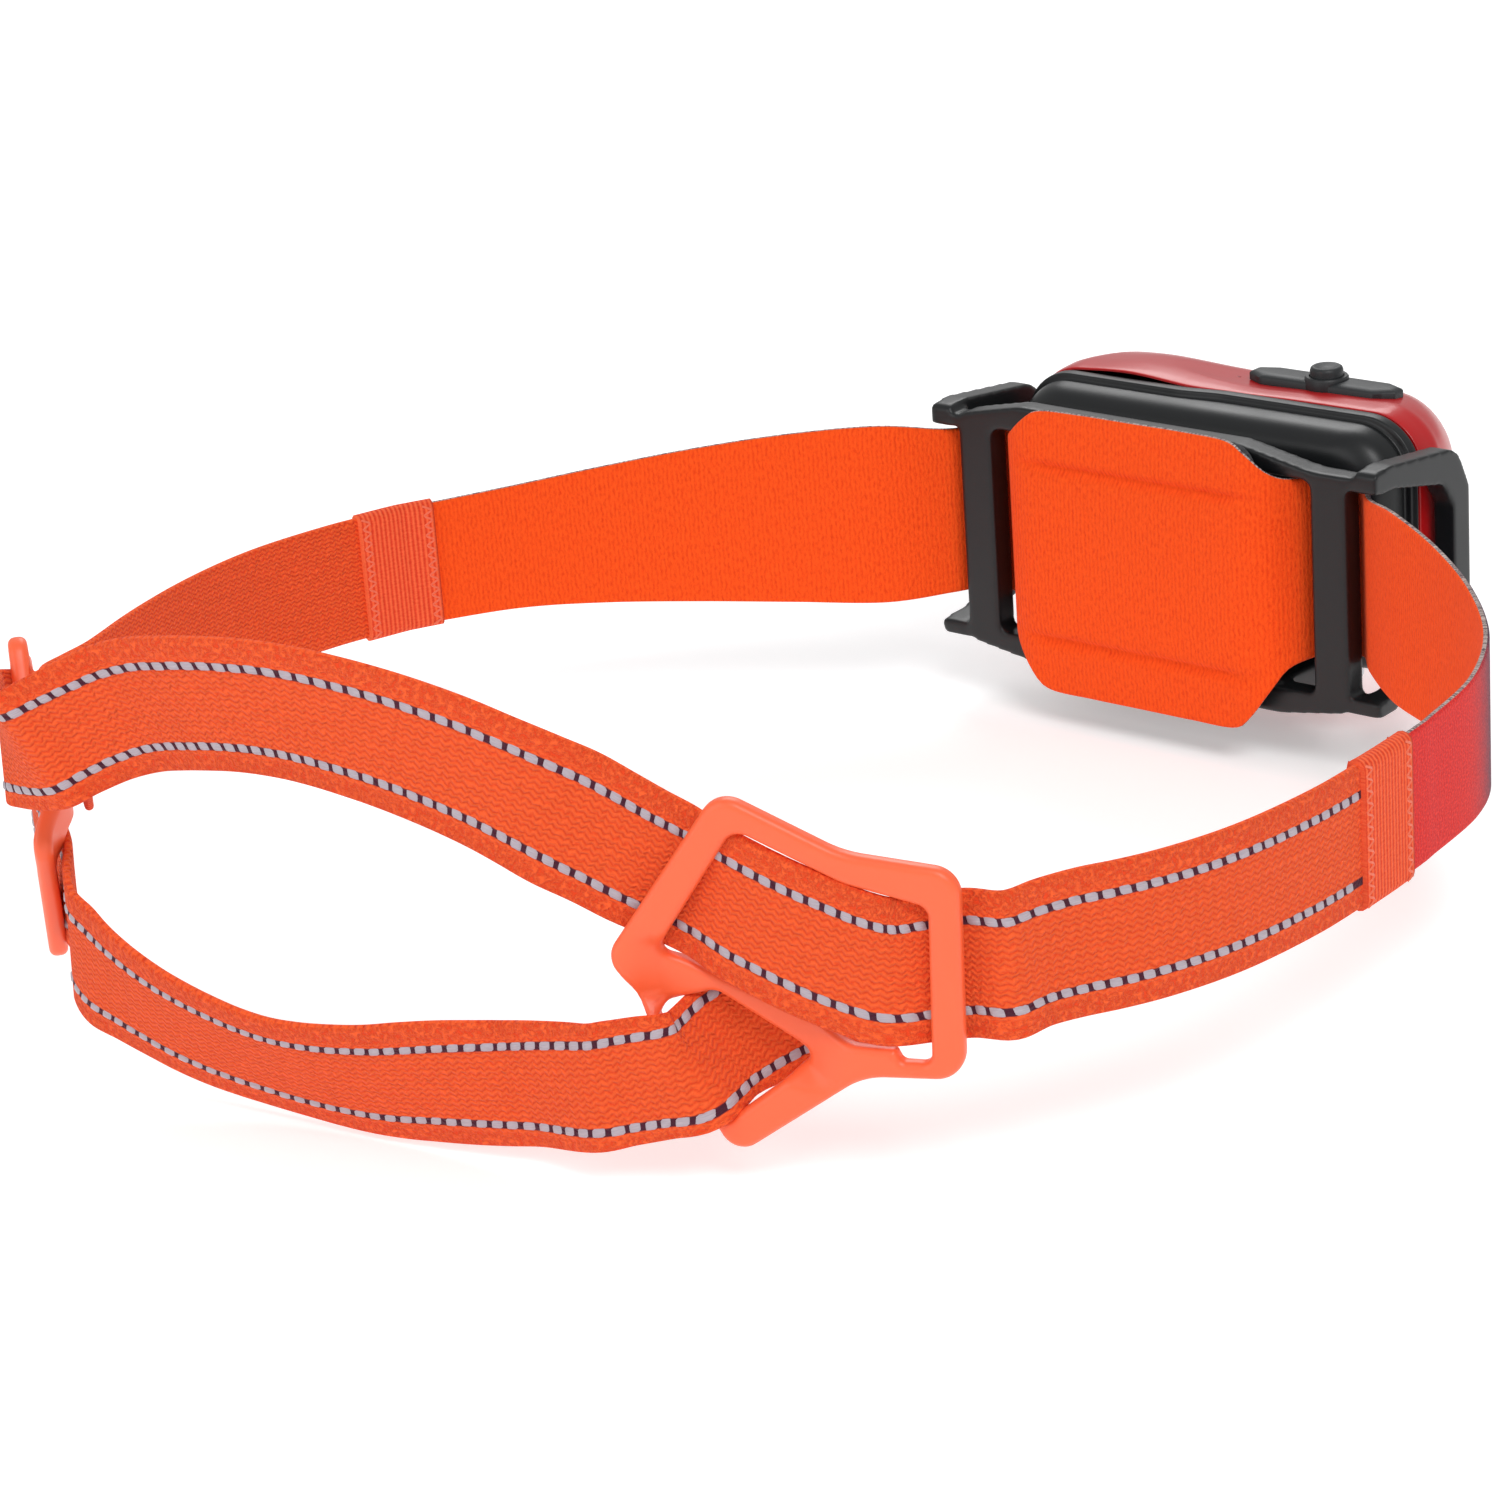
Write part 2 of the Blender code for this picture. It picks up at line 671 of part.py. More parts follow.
def slider_outline():
    outer = [(0.0, 12.2, 3.2), (0.6, -14.2, 3.6), (13.0, -14.6, 8.0), (29.6, -26.2, 2.6), (44.6, -1.2, 3.0),
             (30.0, 20.8, 3.2), (14.0, 13.8, 12.0)]
    upper_window = [(4.0, 7.4, 1.4), (4.6, -10.6, 1.4), (14.5, -10.4, 1.5), (38.5, -0.6, 1.4), (28.2, 15.4, 1.8),
                    (14.0, 9.8, 12.0)]
    lower_window = [(20.2, -13.0, 1.0), (31.6, -5.6, 1.6), (37.8, -8.6, 1.4), (30.4, -21.0, 1.2)]
    return [rounded_outline(corners) for corners in (outer, upper_window, lower_window)]


def crossbar_place(u, v):
    """How far along the crossbar a point is, from 0 to 1, and its distance from the crossbar's middle line."""
    run = CROSSBAR_END - CROSSBAR_START
    offset = Vector((u, v)) - CROSSBAR_START
    along = offset.dot(run) / run.length_squared
    return along, (offset - run * max(0.0, min(1.0, along))).length


def crossbar_dip(u, v):
    """How far the ring is pushed to the head side: full along the crossbar, nothing elsewhere."""
    along, away = crossbar_place(u, v)
    across = max(0.0, min(1.0, (4.0 - away) / 0.6))
    ramp = max(0.0, min(1.0, (along - 0.14) / 0.15, (1.05 - along) / 0.13))
    return CROSSBAR_DIP * across * ramp * ramp * (3 - 2 * ramp)


def slice_near_crossbar(shape, place, normal):
    near = [f for f in shape.faces if crossbar_place(*(f.calc_center_median().xy / MM))[1] < 12.0]
    geometry = near + list({e for f in near for e in f.edges}) + list({v for f in near for v in f.verts})
    bmesh.ops.bisect_plane(shape, geom=geometry, dist=1e-7, plane_co=(*(place * MM), 0), plane_no=(*normal, 0))


def divide_crossbar(obj, count):
    """Adds edges across the crossbar and along its sides, so that it can bend and its neighbours stay flat."""
    shape = bmesh.new()
    shape.from_mesh(obj.data)
    run = CROSSBAR_END - CROSSBAR_START
    sideways = Vector((-run.y, run.x)).normalized()
    for k in range(count):
        slice_near_crossbar(shape, CROSSBAR_START + run * (0.14 + 0.91 * k / (count - 1)), run)
    for offset in (-4.1, 4.1):
        slice_near_crossbar(shape, CROSSBAR_START + sideways * offset, sideways)
    bmesh.ops.triangulate(shape, faces=shape.faces)
    shape.to_mesh(obj.data)
    shape.free()


def slider(name, side, finish):
    half = (SLIDER_OUTSIDE - SLIDER_INSIDE) / 2
    ring = flat_curve(name, slider_outline(), half, 0.9, 2)
    divide_crossbar(ring, 14)
    origin, rearward, up, out = slider_frame(side)
    middle = (SLIDER_OUTSIDE + SLIDER_INSIDE) / 2
    for vert in ring.data.vertices:
        u, v, n = vert.co / MM
        vert.co = (rearward * u + up * v + out * (middle + n - crossbar_dip(u, v))) * MM
    # The slider's axes are left-handed, so the faces turn round.
    ring.data.flip_normals()
    ring.location = origin * MM
    return link_part(smooth(ring, 50), finish)


def band_rows():
    """Stations of the whole front band, from the wearer's left seam to the right one."""
    left = [(x, y, top, low) for x, y, top, low in reversed(PAD_HALF[1:] + LEFT_TAPER)]
    right = [(-x, y, top, low) for x, y, top, low in PAD_HALF[1:] + RIGHT_TAPER]
    half = len(LEFT_TAPER) + len(PAD_HALF) - 1
    return left[:half] + [PAD_HALF[0]] + right


def refined_rows():
    """The taper stretches are smooth curves; the pad keeps its chamfered corners."""
    rows = band_rows()
    pad_start = len(LEFT_TAPER)
    pad_end = len(rows) - len(RIGHT_TAPER)
    left = catmull_rom(rows[:pad_start], 3)
    right = catmull_rom(rows[pad_end:], 3)
    return np.vstack([left, rows[pad_start:pad_end], right])


def front_band():
    rows = refined_rows()
    middles = np.column_stack([rows[:, 0], rows[:, 1], np.zeros(len(rows))])
    up = np.column_stack([np.zeros((len(rows), 2)), rows[:, 2]])
    down = np.column_stack([np.zeros((len(rows), 2)), rows[:, 3]])
    return link_part(smooth(ribbon("front_band", middles, up, down, BAND_THICK)), orange_knit())


def pad_foam():
    """The foam layer behind the pad, between the knit and the frame."""
    corners = [(-16.0, 18.6, 1.5), (16.0, 18.6, 1.5), (20.0, 15.0, 2.0), (20.0, -17.5, 2.0), (16.0, -23.4, 1.5),
               (-16.0, -23.4, 1.5), (-20.0, -17.5, 2.0), (-20.0, 15.0, 2.0)]
    foam = upright(flat_curve("pad_foam", [rounded_outline(corners)], 0.8, 0.3), -3.2)
    return link_part(foam, grey_foam())


def webbing(name, rows):
    """Webbing through stations of middle and lean (degrees), with its width square to its run."""
    rows = np.array(rows, float)
    fine = catmull_rom(rows, 3)
    middles, lean = fine[:, :3], np.radians(fine[:, 3])
    along = np.gradient(middles, axis=0)
    along /= np.linalg.norm(along, axis=1)[:, None]
    outward = np.cross(along, [0, 0, 1.0])
    outward /= np.linalg.norm(outward, axis=1)[:, None]
    outward *= np.sign(np.sum(outward[:, :2] * (middles[:, :2] - [0, 80.0]), axis=1))[:, None]
    across = np.cos(lean)[:, None] * np.array([0, 0, 1.0]) + np.sin(lean)[:, None] * outward
    across -= along * np.sum(across * along, axis=1)[:, None]
    across *= (WEB_WIDTH / 2 / np.linalg.norm(across, axis=1))[:, None]
    return ribbon(name, middles, across, -across, WEB_THICK)


def right_strap():
    """Side webbing through the right slider, then over the head's back to the left slider."""
    rows = [(x, y, 0, 0) for x, y in RIGHT_SIDE]
    for u, v in ((-3.0, -0.4), (4.0, -0.6), (12.0, 0.4), (22.0, 4.1), (32.0, 8.8), (40.0, 12.4), (46.0, 14.2)):
        rows.append((*slider_point("right", u, v, -0.3), 0))
    rows += UPPER_REAR
    for u, v, n in ((54.0, -19.8, 0.8), (48.6, -18.7, 4.4)):
        rows.append((*slider_point("left", u, v, n), 4))
    return link_part(smooth(webbing("right_strap", rows)), orange_webbing())


def left_strap():
    """Side webbing through the left slider, then low round the head's back to the right slider."""
    rows = [(x, y, 0, 0) for x, y in LEFT_SIDE]
    for u, v in ((-3.0, 0.2), (4.0, 0.2), (12.0, 1.2), (22.0, 4.7), (32.0, 9.0), (40.0, 12.3), (46.0, 13.6)):
        rows.append((*slider_point("left", u, v, -0.3), 0))
    rows += list(reversed(LOWER_REAR))
    for u, v, n in ((54.0, -19.8, 3.4), (49.7, -19.0, 4.8)):
        rows.append((*slider_point("right", u, v, n), 4))
    return link_part(smooth(webbing("left_strap", rows)), orange_webbing())


def strap_loop(name, side):
    """The sewn end of a rear strap: over the slider's end bar, through the window, under the crossbar."""
    # Stations: u, v, n, half width, and the angle of the strap's width from the slider's u axis
    stations = [
        (47.0, -18.3, 5.0, 8.8, 90), (42.5, -17.1, 5.0, 8.4, 76), (38.0, -15.9, 5.0, 8.0, 64),
        (35.3, -15.2, 4.95, 7.2, 61), (33.5, -14.6, 4.4, 6.4, 59), (32.5, -14.0, 2.6, 5.8, 59),
        (32.3, -13.8, 0.2, 5.6, 58), (31.1, -13.0, -2.6, 6.0, 53), (28.8, -11.7, -4.8, 6.6, 48),
        (25.5, -9.7, -5.4, 6.8, 42), (21.6, -7.5, -5.4, 6.8, 36),
    ]
    _, rearward, up, _ = slider_frame(side)
    middles = []
    edges = []
    for u, v, n, half, degrees in catmull_rom(stations, 2):
        angle = math.radians(degrees)
        middles.append(slider_point(side, u, v, n))
        edges.append(np.array(rearward * math.cos(angle) + up * math.sin(angle)) * half)
    edges = np.array(edges)
    return link_part(smooth(ribbon(name, middles, edges, -edges, WEB_THICK)), orange_webbing())


# ---------------------------------------------------------------- assembly

def joint_axis(name, point):
    """An empty on a joint's axis, which the moving pieces are parented to."""
    axis = bpy.data.objects.new(name, None)
    PARTS.objects.link(axis)
    axis.location = Vector(point) * MM
    axis.empty_display_size = 5 * MM
    return axis


def hang_on(axis, pieces):
    bpy.context.view_layer.update()
    for piece in pieces:
        piece.parent = axis
        piece.matrix_parent_inverse = axis.matrix_world.inverted()


def build_lamp():
    housing = [
        front_shell(), gauge_light_pipe(), lens_window(), bezel(),
        lens("spot_lens", SPOT_X, SPOT_RADIUS), lens("flood_lens", FLOOD_X, FLOOD_RADIUS),
        diode("spot_led", SPOT_X), diode("flood_led", FLOOD_X), led_board(), heat_sink(),
        board_screw("board_screw_left", 19.0), board_screw("board_screw_right", -19.0),
        light_sensor(), control_board(), tactile_switch(), button_bar(),
        battery_case(), battery_lid(), battery_cell(), seal_ring(),
        contact_pad("contact_pad_positive", 8.0), contact_pad("contact_pad_negative", -8.0),
        contact_spring("contact_spring_positive", 8.0), contact_spring("contact_spring_negative", -8.0),
        usb_port(),
    ]
    tilt = joint_axis("lamp_tilt_axis", (0.0, HINGE_Y, HINGE_Z))
    flap = joint_axis("usb_cover_axis", (34.9, -20.05, 7.1))
    press = joint_axis("power_button_axis", (BUTTON_X, BUTTON_Y, LAMP_TOP))
    hang_on(flap, [usb_cover()])
    hang_on(press, [power_button()])
    hang_on(tilt, housing + [flap, press])


def build_frame():
    mounting_frame()
    hinge_pin("hinge_pin_left", 1)
    hinge_pin("hinge_pin_right", -1)
    hinge_washer("hinge_washer_left", 1)
    hinge_washer("hinge_washer_right", -1)


def build_headband():
    front_band()
    pad_foam()
    right_strap()
    left_strap()
    finish = slider_plastic()
    for side, held in (("right", "left_strap_loop"), ("left", "right_strap_loop")):
        origin, *_ = slider_frame(side)
        line = joint_axis(side + "_slider_line", origin)
        hang_on(line, [slider(side + "_slider", side, finish), strap_loop(held, side)])


clear_scene()
PARTS = new_collection("headlamp")
CUTTERS = new_collection("headlamp_cutters", hidden=True)
build_lamp()
build_frame()
build_headband()
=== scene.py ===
"""The looks of the headlamp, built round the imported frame: webbing, knit, moulded plastic, seams and light.

Everything is in metres in the frame's own coordinates: +Y to the back of the head, -Y along the beam, +Z up.
Lengths that are easier to read in millimetres are multiplied by MM as they are used.
"""

import math
import random

import bmesh
import bpy
import numpy as np
from mathutils import Matrix, Vector


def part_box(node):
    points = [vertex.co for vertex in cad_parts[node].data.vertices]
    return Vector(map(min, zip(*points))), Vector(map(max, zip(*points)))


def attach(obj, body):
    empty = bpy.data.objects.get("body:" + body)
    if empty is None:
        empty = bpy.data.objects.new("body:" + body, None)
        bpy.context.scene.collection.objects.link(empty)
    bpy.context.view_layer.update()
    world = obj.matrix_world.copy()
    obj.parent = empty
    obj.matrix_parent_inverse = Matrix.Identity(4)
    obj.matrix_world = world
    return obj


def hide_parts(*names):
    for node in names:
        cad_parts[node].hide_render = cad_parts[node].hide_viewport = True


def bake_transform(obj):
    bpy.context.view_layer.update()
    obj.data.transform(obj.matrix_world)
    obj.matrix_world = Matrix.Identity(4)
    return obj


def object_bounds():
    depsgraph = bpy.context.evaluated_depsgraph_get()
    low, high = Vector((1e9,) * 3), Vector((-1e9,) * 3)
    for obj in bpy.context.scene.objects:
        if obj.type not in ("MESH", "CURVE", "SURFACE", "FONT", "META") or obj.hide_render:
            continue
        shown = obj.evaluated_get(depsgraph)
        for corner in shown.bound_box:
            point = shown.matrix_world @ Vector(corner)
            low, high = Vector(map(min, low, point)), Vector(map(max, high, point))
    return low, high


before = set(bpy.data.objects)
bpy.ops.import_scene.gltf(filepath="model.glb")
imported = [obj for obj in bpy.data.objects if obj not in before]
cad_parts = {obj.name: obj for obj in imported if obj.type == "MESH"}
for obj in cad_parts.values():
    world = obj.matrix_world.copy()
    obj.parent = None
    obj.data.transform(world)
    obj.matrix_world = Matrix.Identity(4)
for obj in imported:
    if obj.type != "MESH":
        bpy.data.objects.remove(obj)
cad_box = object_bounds()

MM = 0.001
RIGHT_SLIDER = ((-69.0, 130.4, 0.0), (0.920, 0.390, 0.0), (0.0, 0.0, 1.0))    # origin, rearward, up
LEFT_SLIDER = ((85.0, 136.0, 0.0), (-0.770, 0.638, 0.0), (0.0, 0.0, -1.0))
HEAD_MIDDLE = (4.0, 80.0, 0.0)
WEB_HALF_WIDTH = 9.5
WEB_THICK = 1.25
BAND_THICK = 1.1
PATCH_THICK = 2.7              # two layers of cloth and the stitches
DASH_LINE = 5.7                # from the webbing's middle line to each row of dashes
DASH_PITCH = 2.15
DASH_HALF_WIDTH = 0.62
RING_HALF_THICK = 1.25
RING_LIFT = 2.3                # from the webbing's middle to the middle of the ring
BUTTON_CENTRE = (-13.1, -33.2)
SEAM_Y = -24.15                # where the lamp's shell meets its battery case


# ---------------------------------------------------------------- objects and meshes

def linked(name, data):
    made = bpy.data.objects.new(name, data)
    bpy.context.scene.collection.objects.link(made)
    return made


def mesh_of(name, shape):
    """The mesh of a bmesh shape, which is freed."""
    mesh = bpy.data.meshes.new(name)
    shape.to_mesh(mesh)
    shape.free()
    return mesh


# ---------------------------------------------------------------- camera, light and floor

def place_camera():
    azimuth, elevation, roll = (math.radians(a) for a in (221.318, 20.703, -4.245))
    target = Vector((2.29, 85.69, -2.16)) * MM
    back = Vector((math.sin(azimuth) * math.cos(elevation), -math.cos(azimuth) * math.cos(elevation),
                   math.sin(elevation)))
    level_right = (-back).cross(Vector((0, 0, 1))).normalized()
    level_up = back.cross(level_right)
    right = math.cos(roll) * level_right + math.sin(roll) * level_up
    up = math.cos(roll) * level_up - math.sin(roll) * level_right
    data = bpy.data.cameras.new("camera")
    data.lens = 105.13
    data.sensor_width = 36.0
    data.clip_start = 0.01
    camera = linked("camera", data)
    turned = Matrix((right, up, back)).transposed().to_4x4()
    camera.matrix_world = Matrix.Translation(target + back * 0.5845) @ turned
    bpy.context.scene.camera = camera


def area_light(name, place, target, size, power):
    data = bpy.data.lights.new(name, "AREA")
    data.shape = "DISK"
    data.size = size
    data.energy = power
    lamp = linked(name, data)
    lamp.location = place
    lamp.rotation_euler = (Vector(target) - Vector(place)).to_track_quat("-Z", "Y").to_euler()


def light_studio():
    world = bpy.data.worlds.new("studio")
    bpy.context.scene.world = world
    world.use_nodes = True
    background = world.node_tree.nodes["Background"]
    background.inputs["Color"].default_value = (1.0, 1.0, 1.0, 1.0)
    background.inputs["Strength"].default_value = 0.57
    middle = (0.0, 0.07, 0.0)
    area_light("key", (-0.75, 0.55, 1.00), middle, 0.6, 7.4)
    area_light("fill", (0.35, 1.15, 0.45), middle, 0.9, 3.0)
    area_light("rim", (0.55, -0.75, 0.80), middle, 0.6, 4.0)


def lay_floor():
    shape = bmesh.new()
    bmesh.ops.create_grid(shape, x_segments=1, y_segments=1, size=40.0)
    mesh = mesh_of("floor", shape)
    floor = linked("floor", mesh)
    floor.location.z = cad_box[0][2] - 0.0006
    finish = bpy.data.materials.new("floor")
    finish.use_nodes = True
    shader = finish.node_tree.nodes["Principled BSDF"]
    shader.inputs["Base Color"].default_value = (0.93, 0.93, 0.93, 1.0)
    shader.inputs["Roughness"].default_value = 0.9
    shader.inputs["Specular IOR Level"].default_value = 0.1
    shader.inputs["Emission Color"].default_value = (1.0, 1.0, 1.0, 1.0)
    shader.inputs["Emission Strength"].default_value = 0.30
    mesh.materials.append(finish)


# ---------------------------------------------------------------- node helpers

class Graph:
    """Short forms for building one material's nodes."""

    def __init__(self, name):
        self.material = bpy.data.materials.new(name)
        self.material.use_nodes = True
        self.tree = self.material.node_tree
        self.shader = self.tree.nodes["Principled BSDF"]

    def node(self, kind, **settings):
        made = self.tree.nodes.new(kind)
        for key, value in settings.items():
            setattr(made, key, value)
        return made

    def link(self, source, target):
        self.tree.links.new(source, target)

    def put(self, target, value):
        if isinstance(value, bpy.types.NodeSocket):
            self.link(value, target)
        else:
            target.default_value = value

    def math(self, operation, a, b=0.0, c=0.0):
        made = self.node("ShaderNodeMath", operation=operation)
        for target, value in zip(made.inputs, (a, b, c)):
            self.put(target, value)
        return made.outputs[0]

    def mix(self, share, a, b):
        made = self.node("ShaderNodeMix", data_type="RGBA")
        self.put(made.inputs[0], share)
        for target, value in ((made.inputs[6], a), (made.inputs[7], b)):
            self.put(target, value if isinstance(value, bpy.types.NodeSocket) else (*value, 1.0))
        return made.outputs[2]

    def steps(self, value, low, high):
        made = self.node("ShaderNodeMapRange", interpolation_type="SMOOTHSTEP")
        self.put(made.inputs[0], value)
        self.put(made.inputs[1], low)
        self.put(made.inputs[2], high)
        return made.outputs[0]

    def cloth_axes(self):
        """Distances along and across the cloth, in millimetres, from its UV layer."""
        made = self.node("ShaderNodeUVMap", uv_map="cloth")
        split = self.node("ShaderNodeSeparateXYZ")
        self.link(made.outputs[0], split.inputs[0])
        return split.outputs[0], split.outputs[1]

    def point(self, scale=(1.0, 1.0, 1.0)):
        """The object-space position in millimetres, scaled along each axis."""
        made = self.node("ShaderNodeTexCoord")
        scaled = self.node("ShaderNodeMapping")
        scaled.inputs["Scale"].default_value = tuple(s / MM for s in scale)
        self.link(made.outputs["Object"], scaled.inputs[0])
        return scaled.outputs[0]

    def noise(self, vector, scale, detail=2.0, roughness=0.5):
        made = self.node("ShaderNodeTexNoise")
        self.link(vector, made.inputs["Vector"])
        made.inputs["Scale"].default_value = scale
        made.inputs["Detail"].default_value = detail
        made.inputs["Roughness"].default_value = roughness
        return made.outputs["Fac"]

    def cloth_noise(self, u, v, along, across, detail, roughness=0.5):
        """Noise on the cloth, with so many cells to a millimetre along it and across it."""
        scaled = self.combine(self.math("MULTIPLY", u, along), self.math("MULTIPLY", v, across))
        return self.noise(scaled, 1.0, detail, roughness)

    def combine(self, x, y, z=0.0):
        made = self.node("ShaderNodeCombineXYZ")
        for target, value in zip(made.inputs, (x, y, z)):
            self.put(target, value)
        return made.outputs[0]

    def bump(self, height, distance, strength=1.0):
        made = self.node("ShaderNodeBump")
        self.link(height, made.inputs["Height"])
        made.inputs["Distance"].default_value = distance * MM
        made.inputs["Strength"].default_value = strength
        self.link(made.outputs[0], self.shader.inputs["Normal"])

    def finish(self, colour, roughness, **settings):
        self.put(self.shader.inputs["Base Color"], colour if isinstance(colour, bpy.types.NodeSocket)
                 else (*colour, 1.0))
        self.put(self.shader.inputs["Roughness"], roughness)
        for key, value in settings.items():
            self.shader.inputs[key.replace("_", " ")].default_value = value
        return self.material


# ---------------------------------------------------------------- materials

def knit_height(g, u, v, row=0.80, wave=1.32):
    """Rows of yarn that run along the strap in small waves, each row a rounded ridge of stitches."""
    wander = g.cloth_noise(u, v, 0.5, 0.9, 2.0)
    zigzag = g.math("PINGPONG", g.math("MULTIPLY_ADD", wander, 0.8, g.math("DIVIDE", u, wave)), 0.5)
    lifted = g.math("MULTIPLY_ADD", zigzag, 1.05, g.math("DIVIDE", v, row))
    lifted = g.math("MULTIPLY_ADD", wander, 0.9, lifted)
    ridge = g.math("MULTIPLY", g.math("PINGPONG", lifted, 0.5), 2.0)
    stitch = g.cloth_noise(u, v, 2.1, 2.4, 3.0, 0.65)
    return g.math("MULTIPLY_ADD", stitch, 1.1, ridge)


def webbing_outer():
    g = Graph("webbing_outer")
    u, v = g.cloth_axes()
    height = knit_height(g, u, v)
    across = g.math("ABSOLUTE", v)
    hem = g.steps(across, 6.6, 7.1)
    loops = g.cloth_noise(u, v, 1.5, 1.3, 3.0, 0.7)
    nubs = g.steps(loops, 0.36, 0.64)
    height = g.math("ADD", g.math("MULTIPLY", height, g.math("SUBTRACT", 1.0, hem)),
                    g.math("MULTIPLY", g.math("MULTIPLY_ADD", nubs, 0.95, 0.45), hem))
    from_line = g.math("ABSOLUTE", g.math("SUBTRACT", across, DASH_LINE))
    line = g.math("SUBTRACT", 1.0, g.steps(from_line, 0.44, 0.66))
    # Painted shade: the colour is darker where the knit lies low, in the hollows between the rows of yarn.
    depth = g.steps(height, 0.2, 1.5)
    cloth = g.mix(depth, (0.74, 0.052, 0.010), (0.92, 0.118, 0.027))
    colour = g.mix(line, cloth, (0.070, 0.014, 0.030))
    g.bump(height, 0.30, 0.9)
    return g.finish(colour, 0.85, Sheen_Weight=0.06, Specular_IOR_Level=0.15)


def webbing_inner():
    g = Graph("webbing_inner")
    u, v = g.cloth_axes()
    height = knit_height(g, u, v, 0.68, 1.2)
    # Painted shade: the colour is darker where the knit lies low, in the hollows between the rows of yarn.
    depth = g.steps(height, 0.2, 1.5)
    g.bump(height, 0.28, 0.9)
    return g.finish(g.mix(depth, (0.66, 0.034, 0.006), (0.92, 0.115, 0.024)), 0.85,
                    Sheen_Weight=0.06, Specular_IOR_Level=0.15)


def dash_yarn():
    g = Graph("dash_yarn")
    u, v = g.cloth_axes()
    strand = g.cloth_noise(u, v, 0.8, 9.0, 2.0)
    g.bump(strand, 0.10, 0.7)
    return g.finish(g.mix(strand, (0.27, 0.22, 0.27), (0.52, 0.46, 0.50)), 0.5, Sheen_Weight=0.2,
                    Specular_IOR_Level=0.5)


def seam_cloth():
    """Webbing flattened under close rows of satin stitch."""
    g = Graph("seam_cloth")
    u, v = g.cloth_axes()
    rows = g.math("PINGPONG", g.math("DIVIDE", u, 0.75), 0.5)
    strand = g.cloth_noise(u, v, 1.2, 3.2, 3.0, 0.6)
    height = g.math("MULTIPLY_ADD", strand, 0.8, g.math("MULTIPLY", rows, 1.4))
    # Painted shade: the colour is darker where the stitched cloth lies low, between the raised rows of thread.
    depth = g.steps(height, 0.3, 1.2)
    g.bump(height, 0.25, 0.9)
    return g.finish(g.mix(depth, (0.68, 0.040, 0.012), (0.94, 0.150, 0.050)), 0.75, Specular_IOR_Level=0.2)


def jersey_height(g, u, v):
    """Fine wales across the band, broken into stitches and softened by brushing."""
    soft = g.cloth_noise(u, v, 0.7, 0.7, 3.0, 0.6)
    wale = g.math("PINGPONG", g.math("MULTIPLY_ADD", soft, 1.3, g.math("DIVIDE", u, 0.70)), 0.5)
    stitch = g.cloth_noise(u, v, 2.4, 1.1, 3.0, 0.65)
    return g.math("ADD", g.math("MULTIPLY", wale, 0.55), g.math("MULTIPLY", stitch, 1.3)), soft


def jersey_inner():
    g = Graph("jersey_inner")
    u, v = g.cloth_axes()
    height, soft = jersey_height(g, u, v)
    # Painted shade: the colour is darker where the jersey lies low, in the hollows between the wales and
    # stitches.
    depth = g.steps(height, 0.25, 1.05)
    cloth = g.mix(depth, (0.66, 0.036, 0.004), (0.90, 0.092, 0.010))
    g.bump(height, 0.20, 0.75)
    return g.finish(g.mix(g.math("MULTIPLY", soft, 0.25), cloth, (0.90, 0.11, 0.015)), 0.9,
                    Sheen_Weight=0.04, Specular_IOR_Level=0.1)


def jersey_outer():
    """Printed side: red by the seams, turning dark purple towards the lamp."""
    g = Graph("jersey_outer")
    u, v = g.cloth_axes()
    height, soft = jersey_height(g, u, v)
    from_lamp = g.math("ABSOLUTE", u)
    fade = g.steps(g.math("MULTIPLY_ADD", soft, 8.0, from_lamp), 102.0, 121.0)
    fleck = g.steps(g.cloth_noise(u, v, 3.0, 3.0, 2.0), 0.35, 0.75)
    dark = g.mix(fleck, (0.035, 0.012, 0.035), (0.13, 0.055, 0.10))
    red = g.mix(fleck, (0.55, 0.010, 0.012), (0.80, 0.035, 0.020))
    g.bump(height, 0.18, 0.7)
    return g.finish(g.mix(fade, dark, red), 0.8, Sheen_Weight=0.05, Specular_IOR_Level=0.25)


def raw_edge():
    """The cut edge of the band, where grey backing yarn shows."""
    g = Graph("raw_edge")
    u, v = g.cloth_axes()
    fleck = g.cloth_noise(u, v, 3.5, 3.5, 2.0, 0.7)
    colour = g.mix(g.steps(fleck, 0.38, 0.62), (0.10, 0.07, 0.08), (0.55, 0.46, 0.42))
    g.bump(fleck, 0.3, 0.9)
    return g.finish(colour, 0.9, Specular_IOR_Level=0.2)


def thread(name, colour):
    g = Graph(name)
    twist = g.noise(g.point((3.0, 3.0, 3.0)), 1.0, 2.0)
    g.bump(twist, 0.08, 0.6)
    return g.finish(g.mix(twist, tuple(c * 0.75 for c in colour), colour), 0.55, Sheen_Weight=0.2)


def moulded(name, colour, roughness, grain=0.05, **settings):
    """Plastic with a fine moulded grain and a faint large-scale unevenness."""
    g = Graph(name)
    fine = g.noise(g.point(), 9.0, 3.0, 0.6)
    broad = g.noise(g.point(), 0.12, 2.0)
    g.bump(fine, grain, 0.25)
    low = tuple(c * 0.94 for c in colour)
    rough = g.math("MULTIPLY_ADD", broad, 0.10, roughness - 0.05)
    return g.finish(g.mix(broad, low, colour), rough, **settings)


def slider_plastic():
    return moulded("slider_plastic", (0.92, 0.130, 0.042), 0.38, 0.03, Subsurface_Weight=0.10,
                   Subsurface_Radius=(0.004, 0.0016, 0.0008), Subsurface_Scale=0.5)


def black_plastic():
    return moulded("black_plastic", (0.008, 0.009, 0.010), 0.36, 0.03, Specular_IOR_Level=0.36)


def dark_rubber():
    return moulded("dark_rubber", (0.018, 0.020, 0.022), 0.45, 0.06, Specular_IOR_Level=0.4)


